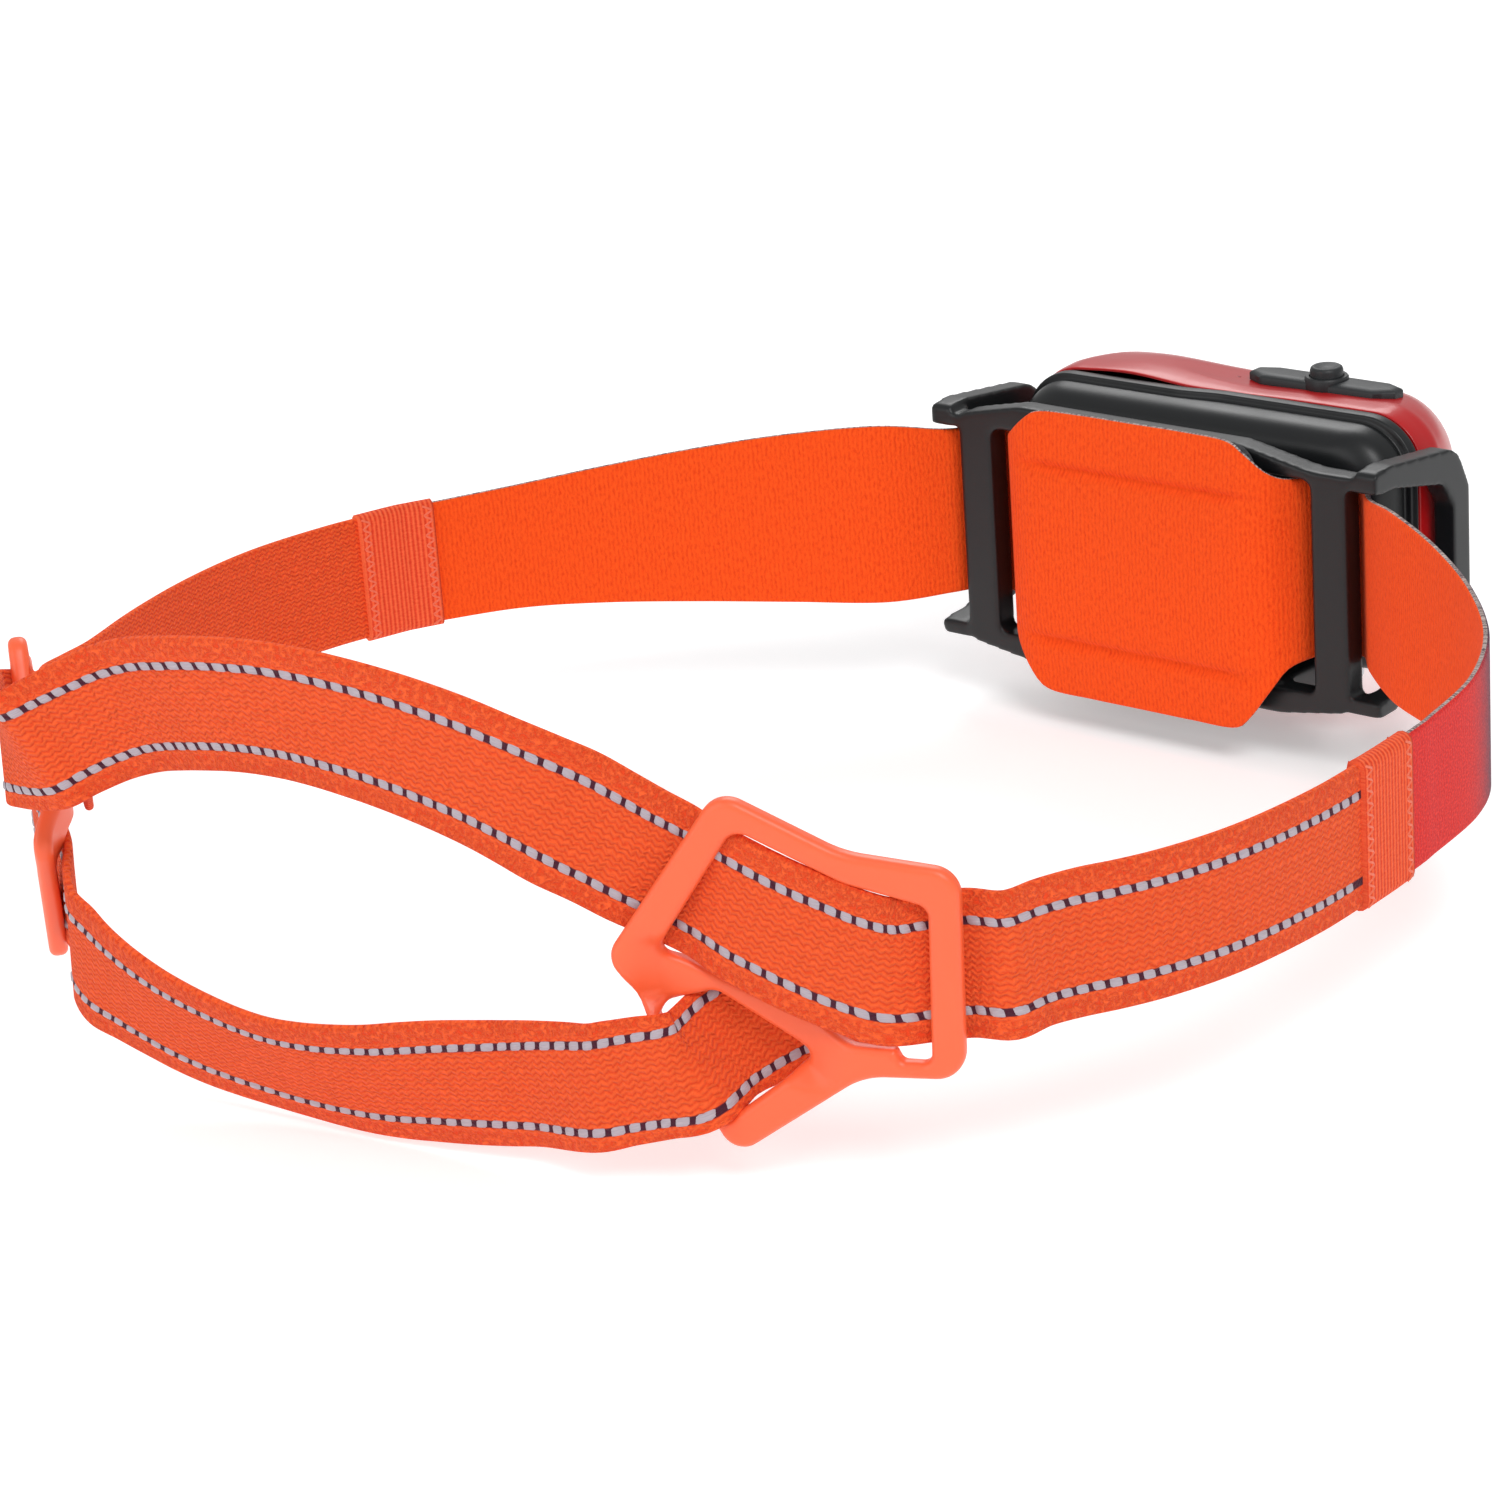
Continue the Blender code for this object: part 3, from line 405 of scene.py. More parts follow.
def red_shell_plastic():
    return moulded("red_shell_plastic", (0.47, 0.006, 0.008), 0.30, 0.008, Coat_Weight=0.15, Coat_Roughness=0.1,
                   Specular_IOR_Level=0.35)


def clear_plastic():
    g = Graph("clear_plastic")
    swirl = g.noise(g.point(), 0.5, 1.0)
    g.bump(swirl, 0.02, 0.1)
    return g.finish((0.95, 0.96, 0.98), 0.04, Transmission_Weight=1.0, IOR=1.49)


def plain_metal(name, colour, roughness):
    g = Graph(name)
    brushed = g.noise(g.point((0.3, 0.3, 8.0)), 2.0, 3.0)
    g.bump(brushed, 0.01, 0.3)
    return g.finish(g.mix(brushed, tuple(c * 0.85 for c in colour), colour), roughness, Metallic=1.0)


def board_green():
    g = Graph("board_green")
    traces = g.node("ShaderNodeTexBrick")
    g.link(g.point(), traces.inputs["Vector"])
    traces.inputs["Scale"].default_value = 0.5
    share = g.steps(traces.outputs["Fac"], 0.2, 0.8)
    return g.finish(g.mix(share, (0.012, 0.12, 0.05), (0.03, 0.22, 0.09)), 0.35)


def led_phosphor():
    g = Graph("led_phosphor")
    grain = g.noise(g.point(), 6.0, 2.0)
    return g.finish(g.mix(grain, (0.90, 0.78, 0.30), (0.98, 0.92, 0.60)), 0.35)


def cell_wrap():
    return moulded("cell_wrap", (0.08, 0.19, 0.42), 0.3, 0.02)


# ---------------------------------------------------------------- cloth strips

def catmull_rom(p0, p1, p2, p3, t):
    """The value at a share t of the way from p1 to p2."""
    return 0.5 * (2 * p1 + (p2 - p0) * t + (2 * p0 - 5 * p1 + 4 * p2 - p3) * t ** 2
                  + (3 * p1 - p0 - 3 * p2 + p3) * t ** 3)


def smooth_rows(rows, spacing):
    """Catmull-Rom through rows whose first three values are a point, resampled at an even spacing."""
    rows = np.array(rows, float)
    padded = np.vstack([2 * rows[0] - rows[1], rows, 2 * rows[-1] - rows[-2]])
    fine = []
    for i in range(1, len(padded) - 2):
        fine += [catmull_rom(*padded[i - 1:i + 3], t) for t in np.linspace(0, 1, 24, endpoint=False)]
    fine = np.array(fine + [rows[-1]])
    reach = np.concatenate([[0], np.cumsum(np.linalg.norm(np.diff(fine[:, :3], axis=0), axis=1))])
    count = max(8, int(reach[-1] / spacing))
    places = np.linspace(0, reach[-1], count + 1)
    return np.stack([np.interp(places, reach, fine[:, k]) for k in range(rows.shape[1])], 1), places


def unit(vectors):
    return vectors / np.linalg.norm(vectors, axis=-1, keepdims=True)


class Strip:
    """A strip of cloth along a path: middle points, unit directions across and outward, half widths."""

    def __init__(self, middle, across, half_up, half_down, places):
        self.middle = middle
        self.along = unit(np.gradient(middle, axis=0))
        across = across - self.along * np.sum(across * self.along, axis=1, keepdims=True)
        self.across = unit(across)
        self.out = np.cross(self.along, self.across)
        self.half_up = half_up
        self.half_down = half_down
        self.places = places

    def flip_if_inward(self):
        """Outward is away from the middle of the head."""
        away = self.middle - HEAD_MIDDLE
        if np.sum(away * self.out) < 0:
            self.out = -self.out
        return self

    def at(self, place, v, lift):
        """A point at a distance along and across the strip, lifted off its middle surface."""
        values = []
        for data in (self.middle, self.across, self.out):
            values.append(np.array([np.interp(place, self.places, data[:, k]) for k in range(3)]))
        return values[0] + values[1] * v + values[2] * lift


def strip_mesh(name, strip, thickness, materials, across_count=14, relief=None):
    """A closed strip with rounded edges: outer face, inner face and rims, with a UV layer in millimetres."""
    half = thickness / 2
    section = []
    for t in np.linspace(1, -1, across_count):
        section.append((t, 1.0, 0.0, 0))
    for degrees, slot in ((60, 0), (30, 2), (0, 2), (-30, 2), (-60, 1)):
        section.append((-1.0, math.sin(math.radians(degrees)), -math.cos(math.radians(degrees)), slot))
    for t in np.linspace(-1, 1, across_count):
        section.append((t, -1.0, 0.0, 1))
    for degrees, slot in ((-60, 1), (-30, 2), (0, 2), (30, 2), (60, 0)):
        section.append((1.0, math.sin(math.radians(degrees)), math.cos(math.radians(degrees)), slot))
    count = len(section)
    points = []
    uvs = []
    for i in range(len(strip.middle)):
        for t, level, bulge, _ in section:
            span = strip.half_up[i] if t > 0 else strip.half_down[i]
            v = t * (span - half) + bulge * half
            lift = level * half
            if relief:
                lift += relief(strip.places[i], v, level)
            points.append(strip.middle[i] + strip.across[i] * v + strip.out[i] * lift)
            uvs.append((strip.places[i], v))
    faces = []
    slots = []
    for i in range(len(strip.middle) - 1):
        for k in range(count):
            after = (k + 1) % count
            faces.append((i * count + k, i * count + after, (i + 1) * count + after, (i + 1) * count + k))
            slots.append(min(section[k][3], section[after][3]))
    faces.append(tuple(range(count))[::-1])
    slots.append(2)
    faces.append(tuple((len(strip.middle) - 1) * count + k for k in range(count)))
    slots.append(2)
    mesh = bpy.data.meshes.new(name)
    mesh.from_pydata((np.array(points) * MM).tolist(), [], faces)
    for finish in materials:
        mesh.materials.append(finish)
    mesh.polygons.foreach_set("material_index", slots)
    layer = mesh.uv_layers.new(name="cloth")
    index = np.empty(len(mesh.loops), int)
    mesh.loops.foreach_get("vertex_index", index)
    layer.data.foreach_set("uv", np.array(uvs)[index].ravel())
    mesh.shade_smooth()
    return oriented(name, mesh)


def oriented(name, mesh):
    shape = bmesh.new()
    shape.from_mesh(mesh)
    bmesh.ops.recalc_face_normals(shape, faces=shape.faces)
    shape.to_mesh(mesh)
    shape.free()
    return linked(name, mesh)


def slider_axes(slider):
    origin, rearward, up = (Vector(v) for v in slider)
    rearward.normalize()
    return origin, rearward, up, up.cross(rearward)


def slider_point(slider, u, v, n):
    origin, rearward, up, out = slider_axes(slider)
    return tuple(origin + rearward * u + up * v + out * n)


def in_slider(slider, rows):
    """Rows of (u, v, n, lean, half width) in a slider's axes, made rows of a world path."""
    return [(*slider_point(slider, u, v, n), *rest) for u, v, n, *rest in rows]


def webbing_strip(rows, spacing=0.8):
    """A strip through rows of x, y, z, lean and half width. Lean tips the upper edge outward, in degrees."""
    fine, places = smooth_rows(rows, spacing)
    middle = fine[:, :3]
    along = unit(np.gradient(middle, axis=0))
    level = unit(np.cross(along, [0, 0, 1.0]))
    level *= np.sign(np.sum(level * (middle - HEAD_MIDDLE), axis=1))[:, None]
    lean = np.radians(fine[:, 3])[:, None]
    across = np.cos(lean) * np.array([0, 0, 1.0]) + np.sin(lean) * level
    return Strip(middle, across, fine[:, 4], fine[:, 4], places).flip_if_inward()


RIGHT_SIDE = [(-87.1, 69.0), (-87.25, 74.0), (-87.2, 86.0), (-85.4, 100.0), (-81.4, 112.0), (-75.6, 122.5)]
LEFT_SIDE = [(94.3, 57.8), (97.5, 68.5), (99.4, 82.3), (98.2, 96.3), (94.8, 110.2), (90.4, 122.9)]
UPPER_REAR = [
    (-20.0, 152.3, 18.3, 3), (-11.5, 156.0, 22.3, 4), (-1.4, 159.4, 25.3, 6), (10.0, 162.5, 27.0, 9),
    (22.0, 164.9, 26.5, 12), (33.5, 166.4, 24.0, 13),
]
LOWER_REAR = [
    (-8.0, 157.6, -19.9, 14), (3.0, 160.9, -21.0, 21), (15.0, 163.6, -20.7, 26),
    (28.7, 165.8, -18.4, 20), (40.0, 166.4, -15.2, 12),
]
THROUGH_RIGHT = [
    (-5.0, -0.5, -0.3), (1.0, -0.6, -0.3), (4.4, -0.9, 0.7), (7.4, -1.1, 2.3),
    (11.0, -0.6, 2.9), (16.0, 0.9, 2.8), (22.0, 3.2, 2.5), (28.0, 5.7, 1.7),
    (32.0, 7.4, 0.5), (36.0, 9.0, -0.4), (40.0, 10.7, -0.5), (46.0, 13.9, -0.3),
]
THROUGH_LEFT = [
    (-5.0, 0.1, -0.3), (1.0, 0.0, -0.3), (4.4, -0.2, 0.7), (7.4, -0.3, 2.3),
    (11.0, 0.2, 2.9), (16.0, 1.6, 2.8), (22.0, 3.8, 2.5), (28.0, 6.1, 1.7),
    (32.0, 7.6, 0.5), (36.0, 9.0, -0.4), (40.0, 10.3, -0.5), (46.0, 12.4, -0.3),
]
# The sewn end of a rear strap, in the slider's axes: u, v, n, half width, angle of its width from u
LOOP = [
    (47.0, -17.4, 5.0, 8.4, 94), (42.5, -16.4, 5.1, 8.2, 80), (38.6, -15.5, 5.1, 8.1, 68),
    (35.6, -15.0, 4.9, 7.9, 62), (33.6, -14.6, 3.9, 7.7, 60), (32.5, -13.9, 1.8, 7.6, 59),
    (31.6, -13.2, -0.2, 7.5, 57), (30.2, -12.4, -1.9, 7.7, 53), (28.0, -11.2, -3.1, 8.2, 49),
    (25.0, -9.5, -3.7, 8.6, 44), (21.6, -7.5, -3.9, 8.8, 38), (18.0, -5.2, -4.0, 8.8, 34),
]


def side_rows(points):
    return [(x, y, 0.0, 0.0, WEB_HALF_WIDTH) for x, y in points]


def rear_rows(rows):
    return [(x, y, z, lean, WEB_HALF_WIDTH) for x, y, z, lean in rows]


def strap_rows(side, through, slider, rear):
    rows = side_rows(side)
    rows += in_slider(slider, [(u, v, n, 0.0, WEB_HALF_WIDTH) for u, v, n in through])
    return rows + rear_rows(rear)


def strap(side, through, slider, rear, other_slider):
    """One strap: side run, slider, rear run, and its end loop on the other slider, as one strip."""
    rows = strap_rows(side, through, slider, rear)
    rows += in_slider(other_slider, [(55.0, -18.7, 2.4, 7.0, 8.9)])
    body = webbing_strip(rows)
    _, rearward, up, _ = slider_axes(other_slider)
    tail_rows = []
    for u, v, n, half, degrees in LOOP:
        angle = math.radians(degrees)
        width = rearward * math.cos(angle) + up * math.sin(angle)
        if width.z < 0:
            width = -width
        tail_rows.append((*slider_point(other_slider, u, v, n), *width, half))
    # The whole path again, now with its own width direction at each row
    body_rows = np.column_stack([body.middle, body.across, body.half_up])
    joined = np.vstack([body_rows[::6], np.array(tail_rows)])
    fine, places = smooth_rows(joined, 0.7)
    strip = Strip(fine[:, :3], fine[:, 3:6], fine[:, 6], fine[:, 6], places)
    strip.flip_if_inward()
    return strip


def dash_row(strip, name, finish, start, end, seed):
    """Raised floats of pale yarn along both lines of the strap."""
    rng = random.Random(seed)
    shape = bmesh.new()
    layer = shape.loops.layers.uv.new("cloth")
    for line in (-DASH_LINE, DASH_LINE):
        place = start + rng.uniform(0, DASH_PITCH)
        while place < end:
            length = DASH_PITCH * rng.uniform(0.84, 0.90)
            v = line + rng.uniform(-0.05, 0.05)
            add_dash(shape, layer, strip, place, v, length, rng.uniform(0.06, 0.16))
            place += DASH_PITCH * rng.uniform(0.97, 1.03)
    mesh = mesh_of(name, shape)
    mesh.materials.append(finish)
    mesh.shade_smooth()
    return oriented(name, mesh)


def add_dash(shape, layer, strip, place, v, length, skew):
    """One float: a low loaf, a little skewed, whose ends dive into the cloth."""
    grid = []
    for s in np.linspace(0, 1, 5):
        row = []
        for t in (-1.0, -0.55, 0.0, 0.55, 1.0):
            loaf = math.sqrt(max(0.0, 1 - abs(2 * s - 1) ** 4)) * (1 - 0.75 * t ** 4)
            lift = WEB_THICK / 2 - 0.12 + 0.34 * loaf
            where = place + s * length + skew * t
            point = strip.at(where, v + t * DASH_HALF_WIDTH, lift)
            row.append((shape.verts.new(Vector(point) * MM), where, v + t * DASH_HALF_WIDTH))
        grid.append(row)
    skin_grid(shape, layer, grid)


def skin_grid(shape, layer, grid):
    """Faces between rows of (vertex, u, v), with u and v as their UVs."""
    for near, far in zip(grid[:-1], grid[1:]):
        for k in range(len(near) - 1):
            corners = [near[k], near[k + 1], far[k + 1], far[k]]
            face = shape.faces.new([c[0] for c in corners])
            for loop, corner in zip(face.loops, corners):
                loop[layer].uv = (corner[1], corner[2])


# ---------------------------------------------------------------- forehead band

PAD_TOP = 19.8
PAD_BOTTOM = -24.8
PAD_HALF = [
    (0.0, -0.7, PAD_TOP, PAD_BOTTOM),
    (9.0, -0.7, PAD_TOP, PAD_BOTTOM),
    (16.6, -0.7, PAD_TOP - 0.3, PAD_BOTTOM + 0.2),
    (19.6, -1.0, 17.9, -22.4),
    (22.4, -2.1, 15.4, -18.2),
    (24.2, -4.3, 14.0, -15.0),
    (26.6, -8.4, 13.5, -13.9),
    (29.2, -10.1, 13.0, -13.5),
    (33.8, -10.1, 12.6, -13.4),
]
LEFT_TAPER = [
    (38.0, -5.4, 12.6, -13.8), (45.0, 2.4, 14.2, -14.2), (56.4, 10.9, 13.6, -13.4), (67.4, 20.1, 12.3, -12.3),
    (77.3, 30.6, 10.9, -10.9), (85.5, 41.6, 9.8, -9.8), (93.4, 55.8, 9.4, -9.4),
]
RIGHT_TAPER = [
    (38.0, -5.4, 12.6, -13.8), (46.7, 2.3, 14.2, -14.2), (58.3, 10.5, 13.6, -13.4), (69.4, 19.9, 12.3, -12.3),
    (78.4, 30.8, 10.9, -10.9), (83.9, 43.5, 9.8, -9.8), (86.2, 57.6, 9.4, -9.4),
    (86.5, 59.9, 9.4, -9.4), (87.05, 67.5, 9.4, -9.4),
]
CREASES = (11.0, -16.2)


def band_strip():
    left = [(x, y, 0.0, top, low) for x, y, top, low in reversed(PAD_HALF[1:] + LEFT_TAPER)]
    right = [(-x, y, 0.0, top, low) for x, y, top, low in PAD_HALF[1:] + RIGHT_TAPER]
    rows = left + [(0.0, PAD_HALF[0][1], 0.0, PAD_TOP, PAD_BOTTOM)] + right
    fine, places = smooth_rows(rows, 0.9)
    middle_index = int(np.argmin(np.abs(fine[:, 0]) + (fine[:, 1] > 5) * 100))
    places = places - places[middle_index]
    across = np.tile([0.0, 0.0, 1.0], (len(fine), 1))
    strip = Strip(fine[:, :3], across, fine[:, 3], -fine[:, 4], places)
    return strip.flip_if_inward()


def pad_relief(place, v, level):
    """Two sewn creases along the pad, soft puffing between them, and lobes that lean back a little."""
    share = blend_step(abs(place), 24.0, 15.0)
    if share <= 0:
        return 0.0
    crease = sum(math.exp(-((v - line) / 0.8) ** 2) for line in CREASES)
    lobe = max(0.0, v - CREASES[0]) + max(0.0, CREASES[1] - v)
    middle = (v - (CREASES[0] + CREASES[1]) / 2) / (CREASES[0] - CREASES[1]) * 2
    puff = max(0.0, 1 - middle ** 4)
    toward_head = 0.45 * puff if level <= 0 else 0.0
    return share * (crease + lobe * 0.07 - toward_head)


def forehead_band(materials):
    strip = band_strip()
    band = strip_mesh("forehead_band", strip, BAND_THICK, materials, 90, pad_relief)
    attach(band, "headband")
    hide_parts("front_band")


def foam_pad():
    """The foam slab behind the band, with softly rounded edges."""
    low, high = (np.array(corner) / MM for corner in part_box("pad_foam"))
    edge = (high[1] - low[1]) / 3
    g = Graph("foam")
    cells = g.noise(g.point(), 1.6, 3.0, 0.7)
    g.bump(cells, 0.25, 0.8)
    finish = g.finish(g.mix(g.steps(cells, 0.3, 0.7), (0.02, 0.02, 0.022), (0.07, 0.07, 0.075)), 0.95)
    rings = []
    for y, inset in ((low[1], edge), (low[1] + 0.3 * edge, 0.3 * edge), (low[1] + edge, 0.0),
                     (high[1] - edge, 0.0), (high[1] - 0.3 * edge, 0.3 * edge), (high[1], edge)):
        flat = rounded_ring(high[0] - inset, high[2] - inset, low[2] + inset, 4.0, 200)
        rings.append(np.column_stack([flat[:, 0], np.full(len(flat), y), flat[:, 1]]))
    pad = skin_rings("foam_pad", rings, finish, caps=(True, True))
    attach(pad, "headband")
    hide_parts("pad_foam")


# ---------------------------------------------------------------- sliders

def arc_corner(corners, steps=10):
    """A closed outline of (x, y, radius) corners, each turned into an arc."""
    points = []
    for i, (x, y, radius) in enumerate(corners):
        here = Vector((x, y))
        before = (Vector(corners[i - 1][:2]) - here).normalized()
        after = (Vector(corners[(i + 1) % len(corners)][:2]) - here).normalized()
        half = before.angle(after) / 2
        reach = radius / math.tan(half)
        centre = here + (before + after).normalized() * (radius / math.sin(half))
        first = here + before * reach - centre
        last = here + after * reach - centre
        turn = first.angle_signed(last)
        for k in range(steps + 1):
            spoke = first.copy()
            spoke.rotate(Matrix.Rotation(-turn * k / steps, 2))
            points.append(tuple(centre + spoke))
    return points


SLIDER_OUTLINES = [
    [(0.0, 12.2, 3.4), (0.6, -14.2, 3.8), (13.0, -14.6, 9.0), (29.6, -26.2, 2.8), (44.0, -0.8, 3.2),
     (28.8, 20.9, 3.6), (14.0, 13.8, 14.0)],
    [(4.0, 7.6, 1.6), (4.6, -12.3, 1.3), (8.2, -12.3, 0.9), (8.9, -10.8, 0.7), (14.5, -10.6, 6.0),
     (38.4, -0.8, 1.4), (27.0, 16.2, 2.2), (14.0, 10.0, 14.0)],
    [(19.6, -13.2, 1.0), (31.6, -5.8, 2.4), (39.0, -7.8, 1.4), (30.6, -21.8, 1.2)],
]
CROSSBAR = (Vector((11.0, -14.5)), Vector((41.0, -2.0)))


def crossbar_dip(u, v, depth=3.1):
    start, end = CROSSBAR
    run = end - start
    offset = Vector((u, v)) - start
    along = offset.dot(run) / run.length_squared
    away = (offset - run * max(0.0, min(1.0, along))).length
    across = max(0.0, min(1.0, (6.0 - away) / 3.0))
    across = across * across * (3 - 2 * across)
    ramp = max(0.0, min(1.0, (along - 0.10) / 0.25, (1.06 - along) / 0.22))
    return depth * across * ramp * ramp * (3 - 2 * ramp)


def ring_slider(name, slider, node, body, finish):
    edge = 0.95
    outlines = [densify(arc_corner(corners), 1.0) for corners in SLIDER_OUTLINES]
    mesh = sheet_outline(name, outlines, RING_HALF_THICK, edge)
    shape = bmesh.new()
    shape.from_mesh(mesh)
    bmesh.ops.remove_doubles(shape, verts=shape.verts, dist=1e-6)
    bmesh.ops.triangulate(shape, faces=shape.faces)
    split_flats(shape)
    origin, rearward, up, out = slider_axes(slider)
    for vert in shape.verts:
        u, v, n = vert.co / MM
        vert.co = (origin + rearward * u + up * v + out * (RING_LIFT + n - crossbar_dip(u, v))) * MM
    mesh = mesh_of(name, shape)
    mesh.materials.append(finish)
    mesh.shade_smooth()
    made = oriented(name, mesh)
    made.data.set_sharp_from_angle(angle=math.radians(50))
    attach(made, body)
    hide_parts(node)


def densify(outline, spacing):
    points = []
    for (x0, y0), (x1, y1) in zip(outline, outline[1:] + outline[:1]):
        count = max(1, int(math.hypot(x1 - x0, y1 - y0) / spacing))
        points += [(x0 + (x1 - x0) * k / count, y0 + (y1 - y0) * k / count) for k in range(count)]
    return points


def split_flats(shape):
    """Cuts the wide flat faces into strips, so that they can bend with the crossbar."""
    for x in range(2, 44, 2):
        bmesh.ops.bisect_plane(shape, geom=shape.faces[:] + shape.edges[:] + shape.verts[:], dist=1e-8,
                               plane_co=(x * MM, 0, 0), plane_no=(1, 0, 0))
    bmesh.ops.triangulate(shape, faces=shape.faces)


# ---------------------------------------------------------------- lamp body and frame

def rounded_ring(half_width, top, bottom, radius, count):
    """Points evenly spaced round a rounded rectangle in (x, z), from the middle of its top."""
    corners = [(half_width - radius, top - radius, 90), (half_width - radius, bottom + radius, 0),
               (radius - half_width, bottom + radius, -90), (radius - half_width, top - radius, -180)]
    line = [(0.0, top)]
    for x, z, start in corners:
        for degrees in np.linspace(start, start - 90, 13):
            angle = math.radians(degrees)
            line.append((x + radius * math.cos(angle), z + radius * math.sin(angle)))
    line = np.array(line + [(0.0, top)])
    reach = np.concatenate([[0], np.cumsum(np.linalg.norm(np.diff(line, axis=0), axis=1))])
    places = np.linspace(0, reach[-1], count, endpoint=False)
    return np.stack([np.interp(places, reach, line[:, k]) for k in (0, 1)], 1)


def lamp_rings(sections, steps, count=420):
    """Rings of points through smoothly joined sections of y, half width, top, bottom and corner radius."""
    rows = np.array(sections, float)
    padded = np.vstack([2 * rows[0] - rows[1], rows, 2 * rows[-1] - rows[-2]])
    rings = []
    for i in range(1, len(padded) - 2):
        for t in np.linspace(0, 1, steps, endpoint=i == len(padded) - 3):
            y, *size = catmull_rom(*padded[i - 1:i + 3], t)
            flat = rounded_ring(*size, count)
            rings.append(np.column_stack([flat[:, 0], np.full(count, y), flat[:, 1]]))
    return rings


def skin_rings(name, rings, finish, caps=(False, False)):
    count = len(rings[0])
    faces = []
    for i in range(len(rings) - 1):
        for k in range(count):
            after = (k + 1) % count
            faces.append((i * count + k, i * count + after, (i + 1) * count + after, (i + 1) * count + k))
    if caps[0]:
        faces.append(tuple(range(count))[::-1])
    if caps[1]:
        faces.append(tuple((len(rings) - 1) * count + k for k in range(count)))
    mesh = bpy.data.meshes.new(name)
    mesh.from_pydata((np.vstack(rings) * MM).tolist(), [], faces)
    mesh.materials.append(finish)
    mesh.shade_smooth()
    made = oriented(name, mesh)
    made.data.set_sharp_from_angle(angle=math.radians(60))
    return made


def blend_step(value, low, high):
    share = np.clip((value - low) / (high - low), 0.0, 1.0)
    return share * share * (3 - 2 * share)


def seam_shift(points):
    """The seam's shallow wave over the top: its half on the button's side lies a little further forward."""
    on_top = blend_step(points[:, 2], 8.0, 15.0)
    return -1.1 * on_top * blend_step(points[:, 0], 7.0, -2.0)


def wave_seam(rings, reach):
    for ring in rings:
        near = 1.0 - blend_step(abs(ring[0, 1] - SEAM_Y), 0.4 * reach, reach)
        ring[:, 1] += seam_shift(ring) * near


def shell_body(finish):
    sections = [
        (SEAM_Y - 0.12, 34.2, 18.2, -20.2, 8.3), (SEAM_Y - 0.35, 34.55, 18.55, -20.5, 8.5),
        (-26.5, 34.8, 18.75, -20.7, 8.7), (-29.5, 34.9, 18.8, -20.8, 9.0), (-34.0, 33.7, 18.5, -20.5, 9.5),
        (-38.5, 31.5, 17.6, -19.6, 9.8), (-42.0, 29.0, 15.6, -17.6, 9.5), (-43.7, 27.2, 13.8, -15.8, 9.0),
        (-44.3, 25.2, 11.6, -13.6, 8.0),
    ]
    rings = lamp_rings(sections, 9)
    wave_seam(rings, 7.0)
    for ring in rings:
        x, y, z = ring.T
        top = blend_step(z, 12.0, 16.0)
        crown = 0.9 * np.exp(-((x - 17.0) / 9.0) ** 2) - 0.25 * np.exp(-((x + 2.0) / 7.0) ** 2)
        length = np.clip(1 - ((x + 8.0) / 22.0) ** 2, 0.0, 1.0)
        groove = np.clip(1 - ((y + 32.6) / (0.5 + 4.2 * np.sqrt(length))) ** 2, 0.0, 1.0)
        ring[:, 2] = z + top * (crown * blend_step(y, -43.0, -34.0) - 0.32 * groove * length)
    lip = rounded_ring(24.35, -1.0 + 10.75, -1.0 - 10.75, 7.1, len(rings[0]))
    for y in (-44.3, -44.25, -42.9):
        rings.append(np.column_stack([lip[:, 0], np.full(len(lip), y), lip[:, 1]]))
    shell = skin_rings("shell_body", rings, finish)
    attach(shell, "lamp")
    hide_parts("front_shell")


def case_body(finish):
    sections = [
        (SEAM_Y + 0.12, 34.1, 18.1, -20.1, 8.3), (SEAM_Y + 0.4, 34.5, 18.5, -20.4, 8.5),
        (-22.6, 34.5, 18.5, -20.4, 8.5), (-22.1, 34.35, 18.35, -20.3, 8.4), (-21.9, 33.7, 17.7, -19.8, 8.1),
        (-21.6, 33.45, 17.45, -19.6, 8.0), (-20.8, 33.6, 17.6, -19.7, 8.0), (-19.0, 33.3, 17.2, -19.3, 8.0),
        (-17.6, 32.5, 16.4, -18.4, 7.8), (-16.4, 31.0, 14.9, -16.8, 7.4), (-15.8, 28.6, 12.6, -14.4, 6.6),
        (-15.6, 25.0, 9.6, -11.4, 6.0),
    ]
    lining = [
        (-17.2, 27.6, 11.6, -13.4, 5.6), (-18.4, 30.4, 14.4, -16.4, 6.4), (-20.0, 31.8, 15.8, -17.9, 6.6),
        (-22.0, 32.0, 16.0, -18.1, 6.8), (SEAM_Y + 0.12, 32.4, 16.4, -18.4, 7.0),
    ]
    rings = lamp_rings(lining, 4) + lamp_rings(sections, 6)
    wave_seam(rings, 5.0)
    case = skin_rings("case_body", rings, finish, caps=(True, True))
    notches = [((side * 19.7, -17.1, -20.9), (2.75, 5.2, 5.2)) for side in (-1, 1)]
    notches += [((35.2, -20.05, -0.5), (1.75, 2.95, 7.8))]
    port_low, port_high = (np.array(corner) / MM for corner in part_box("usb_port"))
    reach = (port_low[0] - 0.3, 37.0)
    notches += [((sum(reach) / 2, *((port_low + port_high) / 2)[1:]),
                 ((reach[1] - reach[0]) / 2, *((port_high - port_low) / 2 + 0.3)[1:]))]
    for middle, half in notches:
        carve(case, block("notch_cutter", middle, half), "DIFFERENCE")
    settle(case)
    case.data.shade_smooth()
    case.data.set_sharp_from_angle(angle=math.radians(50))
    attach(case, "lamp")
    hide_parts("battery_case")


def block(name, middle, half):
    shape = bmesh.new()
    bmesh.ops.create_cube(shape, size=2.0)
    bmesh.ops.scale(shape, vec=Vector(half) * MM, verts=shape.verts)
    bmesh.ops.translate(shape, vec=Vector(middle) * MM, verts=shape.verts)
    return linked(name, mesh_of(name, shape))


